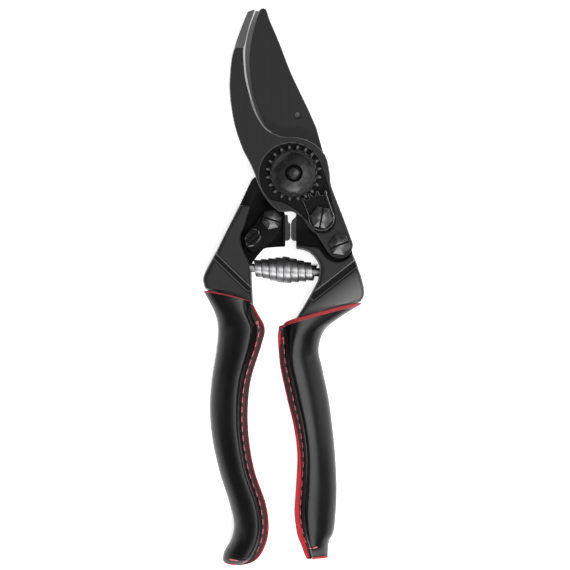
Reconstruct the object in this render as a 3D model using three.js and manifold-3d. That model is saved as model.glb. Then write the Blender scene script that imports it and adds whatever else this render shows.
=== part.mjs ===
// Bypass pruning shears with leather-covered grips, jaws closed. Millimetres, +Z towards the nut side,
// +Y towards the tips, the pivot axis is Z at x = y = 0, and the bolt head's flat back is z = 0.

import * as THREE from "three";
import { mergeVertices } from "three/addons/utils/BufferGeometryUtils.js";
import Module from "manifold-3d";

const wasm = await Module();
wasm.setup();

// Fits
const GAP = 0.3; // between pieces that touch
const REACH = 60; // how far a cutting tool runs past what it cuts

// Pivot stack, from the back to the front
const BOLT_HEAD_RADIUS = 7;
const BOLT_HEAD_HEIGHT = 2.2;
const BOLT_RADIUS = 3.6;
const BOLT_END_RADIUS = 2.4;
const BUSH_WALL = 0.8;
const EYE_RADIUS = 12.3;
const EYE_THICKNESS = 3.7;
const BLADE_THICKNESS = 2.8;
const HOOK_THICKNESS = 3.4;
const NUT_RECESS_DEPTH = 0.8;
const NUT_THICKNESS = 1.8;
const NUT_HUB_HEIGHT = 2.2;

const EYE_BACK = BOLT_HEAD_HEIGHT + GAP;
const EYE_FRONT = EYE_BACK + EYE_THICKNESS;
const BLADE_BACK = EYE_FRONT + GAP;
const BLADE_FRONT = BLADE_BACK + BLADE_THICKNESS;
const HOOK_BACK = BLADE_FRONT + GAP;
const HOOK_FRONT = HOOK_BACK + HOOK_THICKNESS;
const NUT_BACK = HOOK_FRONT - NUT_RECESS_DEPTH + GAP;
const NUT_FRONT = NUT_BACK + NUT_THICKNESS;
const HUB_TOP = NUT_FRONT + NUT_HUB_HEIGHT;
const BUSH_OUTER = BOLT_RADIUS + GAP + BUSH_WALL;

// Toothed nut and its locking segment, two gears of equal pitch
const NUT_TEETH = 20;
const NUT_TIP_RADIUS = 9.8;
const TOOTH_DEPTH = 1.7;
const TOOTH_CLEARANCE = 0.7; // between a tooth's tip and the root it meets
const NUT_ROOT_RADIUS = NUT_TIP_RADIUS - TOOTH_DEPTH;
const NUT_HUB_RADIUS = NUT_ROOT_RADIUS - 0.8;
const NUT_FLATS = 11.3;
const FLATS_DEGREES = 135; // the way the flats face
const SEGMENT_TEETH = 4;
const SEGMENT_END_RADIUS = 4.5;
const SEGMENT_PLACE = { x: 9.7, y: -15.6 };
const CENTRE_DISTANCE = Math.hypot(SEGMENT_PLACE.x, SEGMENT_PLACE.y);
const SEGMENT_TIP_RADIUS = CENTRE_DISTANCE - NUT_ROOT_RADIUS - TOOTH_CLEARANCE;
const SEGMENT_ROOT_RADIUS = CENTRE_DISTANCE - NUT_TIP_RADIUS - TOOTH_CLEARANCE;
const NUT_PITCH = 360 / NUT_TEETH;
const SEGMENT_PITCH = NUT_PITCH
  * ((NUT_TIP_RADIUS + NUT_ROOT_RADIUS) / (SEGMENT_TIP_RADIUS + SEGMENT_ROOT_RADIUS));
const RECESS_PLACE = { x: -0.9, y: -0.7 };
const RECESS_RADIUS = 11.2;
const TANG_RADIUS = 4.7; // the round end of the hook's tang, about its screw
const PIT = { x: 1.5, y: 20.3, radius: 1.1, depth: 1.4 };
const BLADE_BEVEL_DEPTH = 1.4;

// Screws with domed hexagon heads
const HEAD_HEIGHT = 2;
const SCREW_RADIUS = 2;
const SLOT_WIDTH = 0.8;
const SLOT_DEPTH = 0.9;
const SEGMENT_SCREW_HEAD = 4.1;
const HOOK_SCREW_HEAD = 3.9;
const CATCH_SCREW_HEAD = 3.7;
const SEGMENT_SLOT = -10; // how the slots are turned, in degrees
const HOOK_SLOT = -68;
const CATCH_SLOT = 72;
const HOOK_SCREW_PLACE = { x: 16, y: -25.1 };
const CATCH_DIRECTION = THREE.MathUtils.degToRad(244.3); // from the pivot to the catch's screw
const CATCH_DISTANCE = EYE_RADIUS + 5.68; // keeps the catch clear of the eye
const CATCH_PLACE = {
  x: CATCH_DISTANCE * Math.cos(CATCH_DIRECTION),
  y: CATCH_DISTANCE * Math.sin(CATCH_DIRECTION),
};
const BLADE_SCREW_PLACE = { x: -6.9, y: -6.9 };
const BLADE_SCREW_RADIUS = 1.2;
const BLADE_SCREW_HEAD = 2.1;
const DOWEL_PLACE = { x: 12.6, y: -9.6 };
const DOWEL_RADIUS = 1;

// Handles
const HANDLE_BACK = 1.5;
const HANDLE_FRONT = 15.5;
const HANDLE_ROUNDING = 1.4;
const HEAD_FRONT = BLADE_FRONT; // the height of the handles' heads, under the hook
const POCKET_FLOOR = 4; // the pocket that holds the catch
const EYE_CLEARANCE = 0.65; // between the eye's rim and what swings round it
const LEFT_GROOVE_WIDTH = 2.2;
const RIGHT_GROOVE_WIDTH = 2.8;
const GROOVE_DEPTH = 0.9;

// Rubber stops between the handles
const STOP_PLANE_X = -1; // where the two stops meet
const BUFFER_THICKNESS = 1.4;
const BUFFER_TOP_Y = -15;
const BUFFER_BOTTOM_Y = -22.2;
const BUFFER_BACK = 3;
const BUFFER_FRONT = 9;
const BUFFER_STEM_RADIUS = 1.2;
const BUFFER_STEM_LENGTH = 0.8;
const LUG_LEFT_X = -3.7; // the left stop's wall is thin, because the catch turns beside it

// Thumb catch
const CATCH_WASHER = 0.5;
const CATCH_THICKNESS = 1.9;
const CATCH_EYE_RADIUS = 3.8;
const PAD_FRONT = 14.5;
const PAD_RIB_DEPTH = 0.7;
const PAD_RIBS = 4;
const RIB_SPACING = 1.7;
const RIB_WIDTH = 0.7;
const RIB_DEGREES = 42;
const PAD_MIDDLE = { x: CATCH_PLACE.x - 6.4, y: CATCH_PLACE.y - 6.3 };

// Volute spring between the handles
const SPRING_LEFT = { x: -14.5, y: -33 };
const SPRING_RIGHT = { x: 8.6, y: -34.6 };
const SPRING_MIDDLE_Z = 8.5;
const SPRING_TURNS = 8;
const SPRING_END_RADIUS = 2.6;
const SPRING_MIDDLE_RADIUS = 4.5;
const STRIP_THICKNESS = 0.45;
const STRIP_WIDTH = 2.3;
const PEG_RADIUS = 1.5;
const PEG_LENGTH = 3;

// Leather grips
const GRIP_DEPTH = 17;
const LEATHER = 1.2;
const CORE_GAP = 0.45; // between the leather and the handle's core
const RIM_SHARE = 0.012; // the rim's share of the grip's run
const THREAD_RADIUS = 0.35;
const SEAM_TURN = 53; // degrees round from the inner edge to the seam
const SECTION_SQUARENESS = 2.6; // 2 is an ellipse, more is squarer
const GRIP_SIDES = 16;
const GRIP_STEPS = 22;

// Edge points of the grips, from the rim to the butt: [outer edge, inner edge]
const LEFT_GRIP = [
  [[-31.4, -41.4], [-14.1, -47]],
  [[-27.7, -48.5], [-12.6, -50.8]],
  [[-26.4, -54], [-10.4, -54.6]],
  [[-26.9, -61.2], [-11.8, -60.6]],
  [[-28.6, -72], [-14.9, -71.6]],
  [[-29.3, -82], [-16.1, -82]],
  [[-28.4, -93], [-15.7, -93]],
  [[-25.9, -104.5], [-13.7, -104.3]],
  [[-22.4, -115.5], [-10, -115]],
  [[-20.9, -122.5], [-8.8, -122.5]],
  [[-21.8, -127.8], [-9.4, -128.5]],
  [[-24.1, -132], [-11.9, -133.3]],
  [[-24.6, -135.2], [-14.8, -136]],
  [[-22.4, -136.9], [-18.2, -137.2]],
];
const RIGHT_GRIP = [
  [[24, -45.5], [-5.1, -53.4]],
  [[16.3, -50.4], [-5.4, -57.5]],
  [[10.8, -55], [-5.1, -62.5]],
  [[8.8, -61.5], [-4.6, -67.5]],
  [[10, -68], [-3.7, -72]],
  [[12.3, -79], [-1.9, -80]],
  [[13.7, -89.6], [0.3, -89.3]],
  [[14.6, -99], [1.4, -99]],
  [[15.1, -110], [0.9, -110]],
  [[14.7, -119.5], [0.4, -118.5]],
  [[13.9, -126], [1.3, -126]],
  [[12.8, -130.5], [3.3, -131]],
  [[12.3, -133.2], [4.5, -133.6]],
  [[10.6, -134.8], [7, -134.9]],
];

// Shape helpers

function mergedVertices(geometry) {
  const bare = geometry.clone();
  bare.deleteAttribute("normal");
  bare.deleteAttribute("uv");
  return mergeVertices(bare, 1e-4);
}

function solid(geometry) {
  const merged = mergedVertices(geometry);
  return new wasm.Manifold(new wasm.Mesh({
    numProp: 3,
    vertProperties: new Float32Array(merged.attributes.position.array),
    triVerts: new Uint32Array(merged.index.array),
  }));
}

function geometryOf(manifold) {
  const mesh = manifold.getMesh();
  const geometry = new THREE.BufferGeometry();
  geometry.setAttribute("position", new THREE.BufferAttribute(new Float32Array(mesh.vertProperties), 3));
  geometry.setIndex(new THREE.BufferAttribute(new Uint32Array(mesh.triVerts), 1));
  geometry.computeVertexNormals();
  return geometry;
}

function curve(points, steps) {
  const spline = new THREE.SplineCurve(points.map(([x, y]) => new THREE.Vector2(x, y)));
  return spline.getPoints(steps).map((p) => [p.x, p.y]);
}

function arc(x, y, radius, fromDegrees, toDegrees, steps) {
  const points = [];
  for (let i = 0; i <= steps; i += 1) {
    const angle = THREE.MathUtils.degToRad(fromDegrees + ((toDegrees - fromDegrees) * i) / steps);
    points.push([x + radius * Math.cos(angle), y + radius * Math.sin(angle)]);
  }
  return points;
}

function plate(points, back, front, rounding = 0) {
  const shape = new THREE.Shape(points.map(([x, y]) => new THREE.Vector2(x, y)));
  const geometry = new THREE.ExtrudeGeometry(shape, {
    depth: front - back - 2 * rounding,
    bevelEnabled: rounding > 0,
    bevelThickness: rounding,
    bevelSize: rounding,
    bevelOffset: -rounding,
    bevelSegments: 2,
  });
  geometry.translate(0, 0, back + rounding);
  return solid(geometry);
}

function disc(x, y, radius, back, front, sides = 40) {
  const geometry = new THREE.CylinderGeometry(radius, radius, front - back, sides);
  geometry.rotateX(Math.PI / 2);
  geometry.translate(x, y, (back + front) / 2);
  return solid(geometry);
}

// A turned piece: profile points are [radius, z], from the axis and back to the axis.
function turned(profile, x, y, sides = 40, turn = 0) {
  const upward = profile.map(([radius, z]) => new THREE.Vector2(radius, -z));
  const geometry = new THREE.LatheGeometry(upward.reverse(), sides);
  geometry.rotateX(-Math.PI / 2);
  geometry.rotateZ(turn);
  geometry.translate(x, y, 0);
  const made = solid(geometry);
  return made.volume() < 0 ? solid(flipped(geometry)) : made;
}

function flipped(geometry) {
  const merged = mergedVertices(geometry);
  const index = merged.index.array;
  for (let i = 0; i < index.length; i += 3) {
    [index[i], index[i + 1]] = [index[i + 1], index[i]];
  }
  return merged;
}

function box(low, high) {
  const size = high.map((value, axis) => value - low[axis]);
  const geometry = new THREE.BoxGeometry(...size);
  geometry.translate(...low.map((value, axis) => value + size[axis] / 2));
  return solid(geometry);
}

function turnedBox(width, length, back, front, x, y, degrees) {
  const geometry = new THREE.BoxGeometry(width, length, front - back);
  geometry.rotateZ(THREE.MathUtils.degToRad(degrees));
  geometry.translate(x, y, (back + front) / 2);
  return solid(geometry);
}

function gearArc(place, teeth, pitch, firstDegrees, rootRadius, tipRadius) {
  const rootHalf = 0.29 * pitch;
  const tipHalf = 0.12 * pitch;
  const points = [];
  for (let k = 0; k < teeth; k += 1) {
    const middle = firstDegrees + k * pitch;
    for (const [offset, radius] of [
      [-rootHalf, rootRadius], [-tipHalf, tipRadius], [tipHalf, tipRadius], [rootHalf, rootRadius],
    ]) {
      const angle = THREE.MathUtils.degToRad(middle + offset);
      points.push([place.x + radius * Math.cos(angle), place.y + radius * Math.sin(angle)]);
    }
  }
  return points;
}

function hexScrew(place, headRadius, headBack, shaftBack, slotDegrees) {
  const top = headBack + HEAD_HEIGHT;
  const head = turned([
    [0, headBack], [headRadius, headBack], [headRadius, headBack + 0.9], [0.8 * headRadius, top - 0.5],
    [0.45 * headRadius, top - 0.1], [0, top],
  ], place.x, place.y, 6, THREE.MathUtils.degToRad(slotDegrees));
  const shaft = disc(place.x, place.y, SCREW_RADIUS, shaftBack, headBack + GAP, 20);
  const slotFloor = top - SLOT_DEPTH;
  const slot = turnedBox(SLOT_WIDTH, 4 * headRadius, slotFloor, top + 1, place.x, place.y, slotDegrees);
  return head.add(shaft).subtract(slot);
}

// Grip lofts: a closed form between the two edge curves, moved in by inset all round.
function gripSurface(pairs, inset) {
  const outer = new THREE.SplineCurve(pairs.map(([o]) => new THREE.Vector2(...o)));
  const inner = new THREE.SplineCurve(pairs.map(([, i]) => new THREE.Vector2(...i)));
  return (run, turn) => {
    const a = outer.getPoint(run);
    const b = inner.getPoint(run);
    const half = a.distanceTo(b) / 2;
    const across = a.clone().sub(b).normalize();
    const butt = THREE.MathUtils.smoothstep(run, 0.86, 1);
    const depth = (GRIP_DEPTH / 2) * (1 - 0.55 * butt) - inset;
    const power = 2 / SECTION_SQUARENESS;
    const c = Math.cos(turn);
    const s = Math.sin(turn);
    const u = Math.sign(c) * Math.abs(c) ** power * (half - inset);
    const w = Math.sign(s) * Math.abs(s) ** power * depth;
    const middle = a.add(b).multiplyScalar(0.5);
    return new THREE.Vector3(middle.x + across.x * u, middle.y + across.y * u, GRIP_DEPTH / 2 + w);
  };
}

function gripSolid(pairs, inset, from, to, overrun = 0, steps = GRIP_STEPS) {
  const surface = gripSurface(pairs, inset);
  const geometry = new THREE.CylinderGeometry(1, 1, 1, GRIP_SIDES, steps);
  const place = geometry.attributes.position;
  const extra = overrun > 0 ? 1 / steps : 0; // the first step only runs out past the rim
  for (let i = 0; i < place.count; i += 1) {
    const height = place.getY(i) + 0.5;
    const onAxis = Math.hypot(place.getX(i), place.getZ(i)) < 0.5;
    const turn = Math.atan2(place.getZ(i), place.getX(i));
    const run = from + (to - from) * Math.max(0, (1 - height - extra) / (1 - extra));
    const point = surface(run, turn);
    if (onAxis) {
      point.copy(surface(run, 0)).add(surface(run, Math.PI)).multiplyScalar(0.5);
    }
    if (height > 0.999) {
      point.y += overrun;
    }
    place.setXYZ(i, point.x, point.y, point.z);
  }
  const made = solid(geometry);
  return made.volume() < 0 ? solid(flipped(geometry)) : made;
}

function sleeve(pairs, from, to) {
  const whole = to > 0.99;
  const outside = gripSolid(pairs, 0, from, to, 0, whole ? GRIP_STEPS : 1);
  const inside = gripSolid(pairs, LEATHER, 0, whole ? 0.985 : to + 0.02, 4, whole ? GRIP_STEPS : 2);
  return outside.subtract(inside);
}

function seam(pairs, side) {
  const surface = gripSurface(pairs, -GAP - THREAD_RADIUS);
  const points = [];
  const turn = Math.PI - THREE.MathUtils.degToRad(SEAM_TURN);
  for (let i = 0; i <= 40; i += 1) {
    points.push(surface(0.1 + (0.8 * i) / 40, side * turn));
  }
  const rim = arc(0, 0, THREAD_RADIUS, 30, 330, 5);
  const section = new THREE.Shape(rim.map(([x, y]) => new THREE.Vector2(x, y)));
  const path = new THREE.CatmullRomCurve3(points);
  return new THREE.ExtrudeGeometry(section, { steps: 60, bevelEnabled: false, extrudePath: path });
}

const group = new THREE.Group();

function piece(name, shape, colour, roughness, metalness) {
  const geometry = shape.isBufferGeometry ? shape : geometryOf(shape);
  const material = new THREE.MeshStandardMaterial({ color: colour, roughness, metalness });
  const mesh = new THREE.Mesh(geometry, material);
  mesh.name = name;
  group.add(mesh);
}

const BLACK_METAL = [0x2a2a2c, 0.45, 0.6];
const BLADE_STEEL = [0x3c3c3e, 0.4, 0.8];
const BRIGHT_STEEL = [0x9a9a9c, 0.35, 1];
const RUBBER = [0x141414, 0.8, 0];
const LEATHER_BLACK = [0x1a1a1a, 0.5, 0];
const RED = [0xc8232a, 0.7, 0];

// Counter blade: a crescent jaw, the pivot disc and a tang in one plate
const hookOutline = [
  ...curve([
    [-12.4, 57.2], [-13.3, 57.5], [-16.3, 56.2], [-18.4, 50.5], [-20.4, 44.8], [-21.6, 40.8], [-22.5, 31.4],
    [-22, 24.7], [-20.3, 16.4], [-17.5, 8.4], [-15.4, 4.5], [-13.4, 0.1], [-12.3, -3.6], [-10.7, -7.2],
    [-8.1, -11], [-5.2, -13.3],
  ], 34),
  ...curve([[-2.9, -13.4], [-0.3, -13.4], [2.6, -15], [5.6, -17.6], [8.6, -22.2], [11.2, -26.2]], 10),
  ...arc(HOOK_SCREW_PLACE.x, HOOK_SCREW_PLACE.y, TANG_RADIUS, 205, 372, 10),
  ...curve([
    [19.6, -21.5], [18.4, -18.3], [16.1, -12.3], [14.1, -7.2], [13, -3.9], [12.6, 0], [11.9, 3.9],
  ], 10),
  ...curve([
    [11.1, 6.1], [9.6, 8.1], [7.3, 10.2], [4, 11.8], [0.9, 12.5], [-3.4, 12.7], [-6.6, 14], [-9.6, 17.6],
  ], 12),
  ...curve([
    [-11.8, 21.4], [-13.8, 26.7], [-14.9, 32.4], [-15.3, 42.1], [-14.8, 49.2], [-12.3, 56.3],
  ], 14),
];
const screwBore = SCREW_RADIUS + GAP;
const recessTool = plate(
  [
    ...arc(RECESS_PLACE.x, RECESS_PLACE.y, RECESS_RADIUS, 12, 234, 26),
    [0, -12.6], [2.6, -15], [5, -18.4], [7.6, -20.6], [11.6, -20.8], [14.4, -18], [14.7, -14.8],
    [13.5, -10.4], [12.2, -4.6],
  ],
  NUT_BACK - GAP,
  HOOK_FRONT + REACH,
);
const recessLimit = plate(hookOutline, 0, REACH);
const counterBlade = plate(hookOutline, HOOK_BACK, HOOK_FRONT)
  .subtract(recessTool.intersect(recessLimit))
  .subtract(disc(0, 0, BOLT_RADIUS + GAP, 0, REACH))
  .subtract(disc(SEGMENT_PLACE.x, SEGMENT_PLACE.y, screwBore, 0, REACH, 20))
  .subtract(disc(HOOK_SCREW_PLACE.x, HOOK_SCREW_PLACE.y, screwBore, 0, REACH, 20))
  .subtract(disc(DOWEL_PLACE.x, DOWEL_PLACE.y, DOWEL_RADIUS + GAP, 0, HOOK_BACK + 1.4, 16));

// Cutting blade: convex edge behind the hook, straight spine, round pit, disc round the pivot
const bladeOutline = [
  ...arc(-10.6, 56.4, 1.5, 20, 160, 6),
  ...curve([
    [-13.3, 52], [-16.3, 46], [-17.6, 40], [-17.8, 34], [-17, 27], [-15.2, 20], [-13.2, 12], [-12.2, 4],
  ], 16),
  ...arc(0, 0, EYE_RADIUS, 180, 390, 26),
  [9.4, 10], [8, 16], [5.3, 22.2], [2, 29.1], [-1.4, 36.5], [-4.7, 45.2], [-8.1, 53.2],
];
const bladeBevel = plate(
  [
    [-14, 60], [-30, 60], [-30, 14], [-13.6, 14], [-14.4, 20], [-15.6, 27], [-16.2, 34], [-15.8, 40],
    [-14.4, 46], [-11.4, 52], [-10.6, 56],
  ],
  BLADE_BACK - 1,
  BLADE_BACK + BLADE_BEVEL_DEPTH,
);
const bladeScrewBore = BLADE_SCREW_RADIUS + GAP;
const cuttingBlade = plate(bladeOutline, BLADE_BACK, BLADE_FRONT)
  .subtract(bladeBevel)
  .subtract(disc(PIT.x, PIT.y, PIT.radius, BLADE_FRONT - PIT.depth, REACH, 20))
  .subtract(disc(0, 0, BUSH_OUTER + GAP, 0, REACH))
  .subtract(disc(BLADE_SCREW_PLACE.x, BLADE_SCREW_PLACE.y, bladeScrewBore, 0, BLADE_FRONT - 0.5, 16));

// Left handle: eye, neck with the catch's pocket, body and the core inside the leather
const leftOutline = [
  [-13.6, -1.2], [-14.8, -2.4], [-18.7, -10.7], [-22.6, -18.5], [-26.9, -27.1],
  ...curve([[-29.8, -32.4], [-31.4, -35.7], [-31.6, -37.8], [-30.9, -40.4]], 6),
  [-14.2, -46],
  ...curve([[-14.6, -37.8], [-14.8, -32.4], [-13.9, -30.5], [-11.2, -27.1], [-9.4, -26], [-2.9, -25.6]], 10),
  [STOP_PLANE_X - GAP / 2 - BUFFER_THICKNESS - GAP, BUFFER_TOP_Y],
  [-3.6, -12], [-4, -6],
];

// Points given from the catch's screw, so that they move with it
function fromCatch(points) {
  return points.map(([x, y]) => [CATCH_PLACE.x + x, CATCH_PLACE.y + y]);
}

const pocketOutline = [
  ...curve([
    [-12.4, -6], [-15, -11.2], ...fromCatch([[-9.6, -2.6], [-10.9, -6], [-10, -10.4], [-8, -14.4]]),
  ], 14),
  [-14.8, -36], [8, -36], [8, -13], [-3, -11], [-8, -9.4],
];
const lugTool = box(
  [LUG_LEFT_X, BUFFER_BOTTOM_Y - 1.5, POCKET_FLOOR - 1],
  [STOP_PLANE_X - GAP / 2 - BUFFER_THICKNESS - GAP, BUFFER_TOP_Y + 0.4, BUFFER_FRONT],
);
const catchRoom = disc(CATCH_PLACE.x, CATCH_PLACE.y, CATCH_EYE_RADIUS + 0.4, POCKET_FLOOR, REACH, 32);
const leftGroove = turnedBox(LEFT_GROOVE_WIDTH, 18.6, HANDLE_FRONT - GROOVE_DEPTH, REACH, -21.7, -34.6, 46);
const leftHead = plate(
  [[-30, -11], [-14.8, -11.4], [-8, -9.4], [-3, -11], [0, 5], [-30, 5]],
  HEAD_FRONT,
  REACH,
);
const stemMiddleY = (BUFFER_TOP_Y + BUFFER_BOTTOM_Y) / 2;
const stemMiddleZ = (BUFFER_BACK + BUFFER_FRONT) / 2;

function stem(fromX, toX, radius) {
  const geometry = new THREE.CylinderGeometry(radius, radius, toX - fromX, 16);
  geometry.rotateZ(Math.PI / 2);
  geometry.translate((fromX + toX) / 2, stemMiddleY, stemMiddleZ);
  return solid(geometry);
}

// A spring peg stands on its handle's inner wall, on the spring's axis.
const springAxis = new THREE.Vector2(SPRING_RIGHT.x - SPRING_LEFT.x, SPRING_RIGHT.y - SPRING_LEFT.y);
springAxis.normalize();

function peg(place, direction, from, to, radius) {
  const geometry = new THREE.CylinderGeometry(radius, radius, to - from, 16);
  geometry.rotateZ(Math.PI / 2 + Math.atan2(springAxis.y, springAxis.x));
  const middle = (direction * (from + to)) / 2;
  geometry.translate(place.x + springAxis.x * middle, place.y + springAxis.y * middle, SPRING_MIDDLE_Z);
  return solid(geometry);
}

const leftStopX = STOP_PLANE_X - GAP / 2;
const leftCore = gripSolid(LEFT_GRIP, LEATHER + CORE_GAP, 0, 0.965, 3);
const leftHandle = plate(leftOutline, HANDLE_BACK, HANDLE_FRONT, HANDLE_ROUNDING)
  .subtract(plate(pocketOutline, POCKET_FLOOR, REACH))
  .subtract(leftHead)
  .subtract(disc(0, 0, EYE_RADIUS + GAP, EYE_FRONT, REACH))
  .subtract(disc(0, 0, EYE_RADIUS + GAP, -1, EYE_BACK))
  .add(lugTool)
  .subtract(catchRoom)
  .add(disc(0, 0, EYE_RADIUS, EYE_BACK, EYE_FRONT))
  .add(leftCore)
  .subtract(leftGroove)
  .subtract(disc(0, 0, BUSH_OUTER + GAP, 0, REACH))
  .subtract(disc(BLADE_SCREW_PLACE.x, BLADE_SCREW_PLACE.y, bladeScrewBore, 0, REACH, 16))
  .subtract(disc(BLADE_SCREW_PLACE.x, BLADE_SCREW_PLACE.y, BLADE_SCREW_HEAD + GAP, 0, EYE_BACK + 1.2, 20))
  .subtract(disc(CATCH_PLACE.x, CATCH_PLACE.y, screwBore, 0, REACH, 20))
  .subtract(stem(leftStopX - BUFFER_THICKNESS - BUFFER_STEM_LENGTH - GAP, 0, BUFFER_STEM_RADIUS + GAP))
  .subtract(peg(SPRING_LEFT, 1, -PEG_LENGTH - GAP, PEG_LENGTH, PEG_RADIUS + GAP));

// Right handle: head under the hook's tang, body and the core inside the leather
const rightOutline = [
  ...curve([[0.9, -26.4], [4.7, -27.1], [7.4, -29.4], [8.9, -32], [9.1, -34.2], [8.4, -37.8]], 8),
  [5.9, -42.5], [1, -50.9],
  [23.4, -44.9],
  ...curve([[24.4, -43.4], [24.7, -40.6], [22.8, -33.6], [20.4, -27.3], [20.1, -23.3]], 7),
  [18.3, -18.3], [16, -12.3], [14, -7.2], [12.8, -3.6], [9, -4],
  [STOP_PLANE_X + GAP / 2 + BUFFER_THICKNESS + GAP, -12],
];
const rightHead = plate(
  [
    ...curve([
      [-3, -24.6], [4, -25.6], [8.4, -26], [11.2, -29.4], [14.6, -31], [18.4, -30.2], [21.2, -27], [26, -20],
    ], 16),
    [26, 5], [-3, 5],
  ],
  HEAD_FRONT,
  REACH,
);
const rightStopX = STOP_PLANE_X + GAP / 2;
const rightCore = gripSolid(RIGHT_GRIP, LEATHER + CORE_GAP, 0, 0.965, 3);
const rightGroove = turnedBox(RIGHT_GROOVE_WIDTH, 20.8, HANDLE_FRONT - GROOVE_DEPTH, REACH, 14.1, -37.5, -52);
const rightHandle = plate(rightOutline, HANDLE_BACK, HANDLE_FRONT, HANDLE_ROUNDING)
  .subtract(rightHead)
  .subtract(disc(0, 0, EYE_RADIUS + EYE_CLEARANCE, 0, REACH, 48))
  .add(rightCore)
  .subtract(rightGroove)
  .subtract(disc(SEGMENT_PLACE.x, SEGMENT_PLACE.y, screwBore, 0, REACH, 20))
  .subtract(disc(HOOK_SCREW_PLACE.x, HOOK_SCREW_PLACE.y, screwBore, 0, REACH, 20))
  .subtract(disc(DOWEL_PLACE.x, DOWEL_PLACE.y, DOWEL_RADIUS + GAP, HEAD_FRONT - 3, REACH, 16))
  .subtract(stem(-1, rightStopX + BUFFER_THICKNESS + BUFFER_STEM_LENGTH + GAP, BUFFER_STEM_RADIUS + GAP))
  .subtract(peg(SPRING_RIGHT, -1, -PEG_LENGTH - GAP, PEG_LENGTH, PEG_RADIUS + GAP));

// Rubber stops, each with a stem pressed into its handle
function buffer(side, stopX) {
  const back = Math.min(stopX, stopX + side * BUFFER_THICKNESS);
  const pad = box(
    [back, BUFFER_BOTTOM_Y, BUFFER_BACK],
    [back + BUFFER_THICKNESS, BUFFER_TOP_Y, BUFFER_FRONT],
  );
  const near = stopX + side * 0.5;
  const far = stopX + side * (BUFFER_THICKNESS + BUFFER_STEM_LENGTH);
  return pad.add(stem(Math.min(near, far), Math.max(near, far), BUFFER_STEM_RADIUS));
}

// Bolt with a domed end, bush, toothed nut
const bolt = turned([
  [0, 0], [BOLT_HEAD_RADIUS - 0.6, 0], [BOLT_HEAD_RADIUS, 0.6], [BOLT_HEAD_RADIUS, BOLT_HEAD_HEIGHT],
  [BOLT_RADIUS, BOLT_HEAD_HEIGHT], [BOLT_RADIUS, NUT_BACK - GAP], [BOLT_END_RADIUS, NUT_BACK - GAP],
  [BOLT_END_RADIUS, HUB_TOP - 0.4], [0.7 * BOLT_END_RADIUS, HUB_TOP + 0.2], [0, HUB_TOP + 0.5],
], 0, 0);
const bush = disc(0, 0, BUSH_OUTER, EYE_BACK, BLADE_FRONT).subtract(disc(0, 0, BOLT_RADIUS + GAP, 0, REACH));
const lineOfCentres = THREE.MathUtils.radToDeg(Math.atan2(SEGMENT_PLACE.y, SEGMENT_PLACE.x));
const nutFlats = [-1, 1].map((side) => {
  const away = side * (NUT_FLATS / 2 + REACH / 2);
  const x = away * Math.cos(THREE.MathUtils.degToRad(FLATS_DEGREES));
  const y = away * Math.sin(THREE.MathUtils.degToRad(FLATS_DEGREES));
  return turnedBox(REACH, 4 * NUT_TIP_RADIUS, NUT_FRONT, REACH, x, y, FLATS_DEGREES);
});
const nutFirst = lineOfCentres - NUT_PITCH / 4;
const pivotNut = plate(
  gearArc({ x: 0, y: 0 }, NUT_TEETH, NUT_PITCH, nutFirst, NUT_ROOT_RADIUS, NUT_TIP_RADIUS),
  NUT_BACK,
  NUT_FRONT,
)
  .add(turned([
    [0, NUT_BACK], [NUT_HUB_RADIUS, NUT_BACK], [NUT_HUB_RADIUS, NUT_FRONT + 0.5],
    [0.75 * NUT_HUB_RADIUS, HUB_TOP - 0.4], [BOLT_END_RADIUS + 0.9, HUB_TOP], [0, HUB_TOP],
  ], 0, 0))
  .subtract(nutFlats[0])
  .subtract(nutFlats[1])
  .subtract(disc(0, 0, BOLT_END_RADIUS + GAP, 0, REACH, 24));

// Locking segment: four teeth in mesh with the nut, and a round end under its screw
const segmentFirst = lineOfCentres + 180 - SEGMENT_PITCH / 4 - (SEGMENT_TEETH - 2) * SEGMENT_PITCH;
const segmentTeeth = [SEGMENT_PITCH, segmentFirst, SEGMENT_ROOT_RADIUS, SEGMENT_TIP_RADIUS];
const lockingSegment = plate(
  [
    ...gearArc(SEGMENT_PLACE, SEGMENT_TEETH, ...segmentTeeth),
    ...arc(SEGMENT_PLACE.x, SEGMENT_PLACE.y, SEGMENT_END_RADIUS, 172, 368, 14),
  ],
  NUT_BACK,
  NUT_FRONT,
).subtract(disc(SEGMENT_PLACE.x, SEGMENT_PLACE.y, screwBore, 0, REACH, 20));

// Thumb catch: lever under the screw's head, and a ridged pad that stands up for the thumb
const washerBack = POCKET_FLOOR + GAP;
const catchBack = washerBack + CATCH_WASHER + GAP;
const catchFront = catchBack + CATCH_THICKNESS;
const leverOutline = [
  ...arc(CATCH_PLACE.x, CATCH_PLACE.y, CATCH_EYE_RADIUS, 140, -10, 12),
  ...curve(fromCatch([[3.5, -1.4], [2.4, -4.2], [0.5, -7], [-2.6, -9.6], [-6.6, -11.4]]), 8),
  ...fromCatch([[-8.8, -9.6], [-9.2, -6.4], [-6.8, -3]]),
];
const padOutline = fromCatch([
  [-8.8, -9.6], [-9.4, -6.2], [-6.9, -2.8], [-4.4, -3.4], [-3.4, -6.2], [-5.4, -9.4],
]);
const ribDirection = THREE.MathUtils.degToRad(RIB_DEGREES);
let thumbCatch = plate(leverOutline.reverse(), catchBack, catchFront)
  .add(plate(padOutline, catchFront - GAP, PAD_FRONT, 0.5))
  .subtract(disc(CATCH_PLACE.x, CATCH_PLACE.y, screwBore, 0, REACH, 20));
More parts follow.
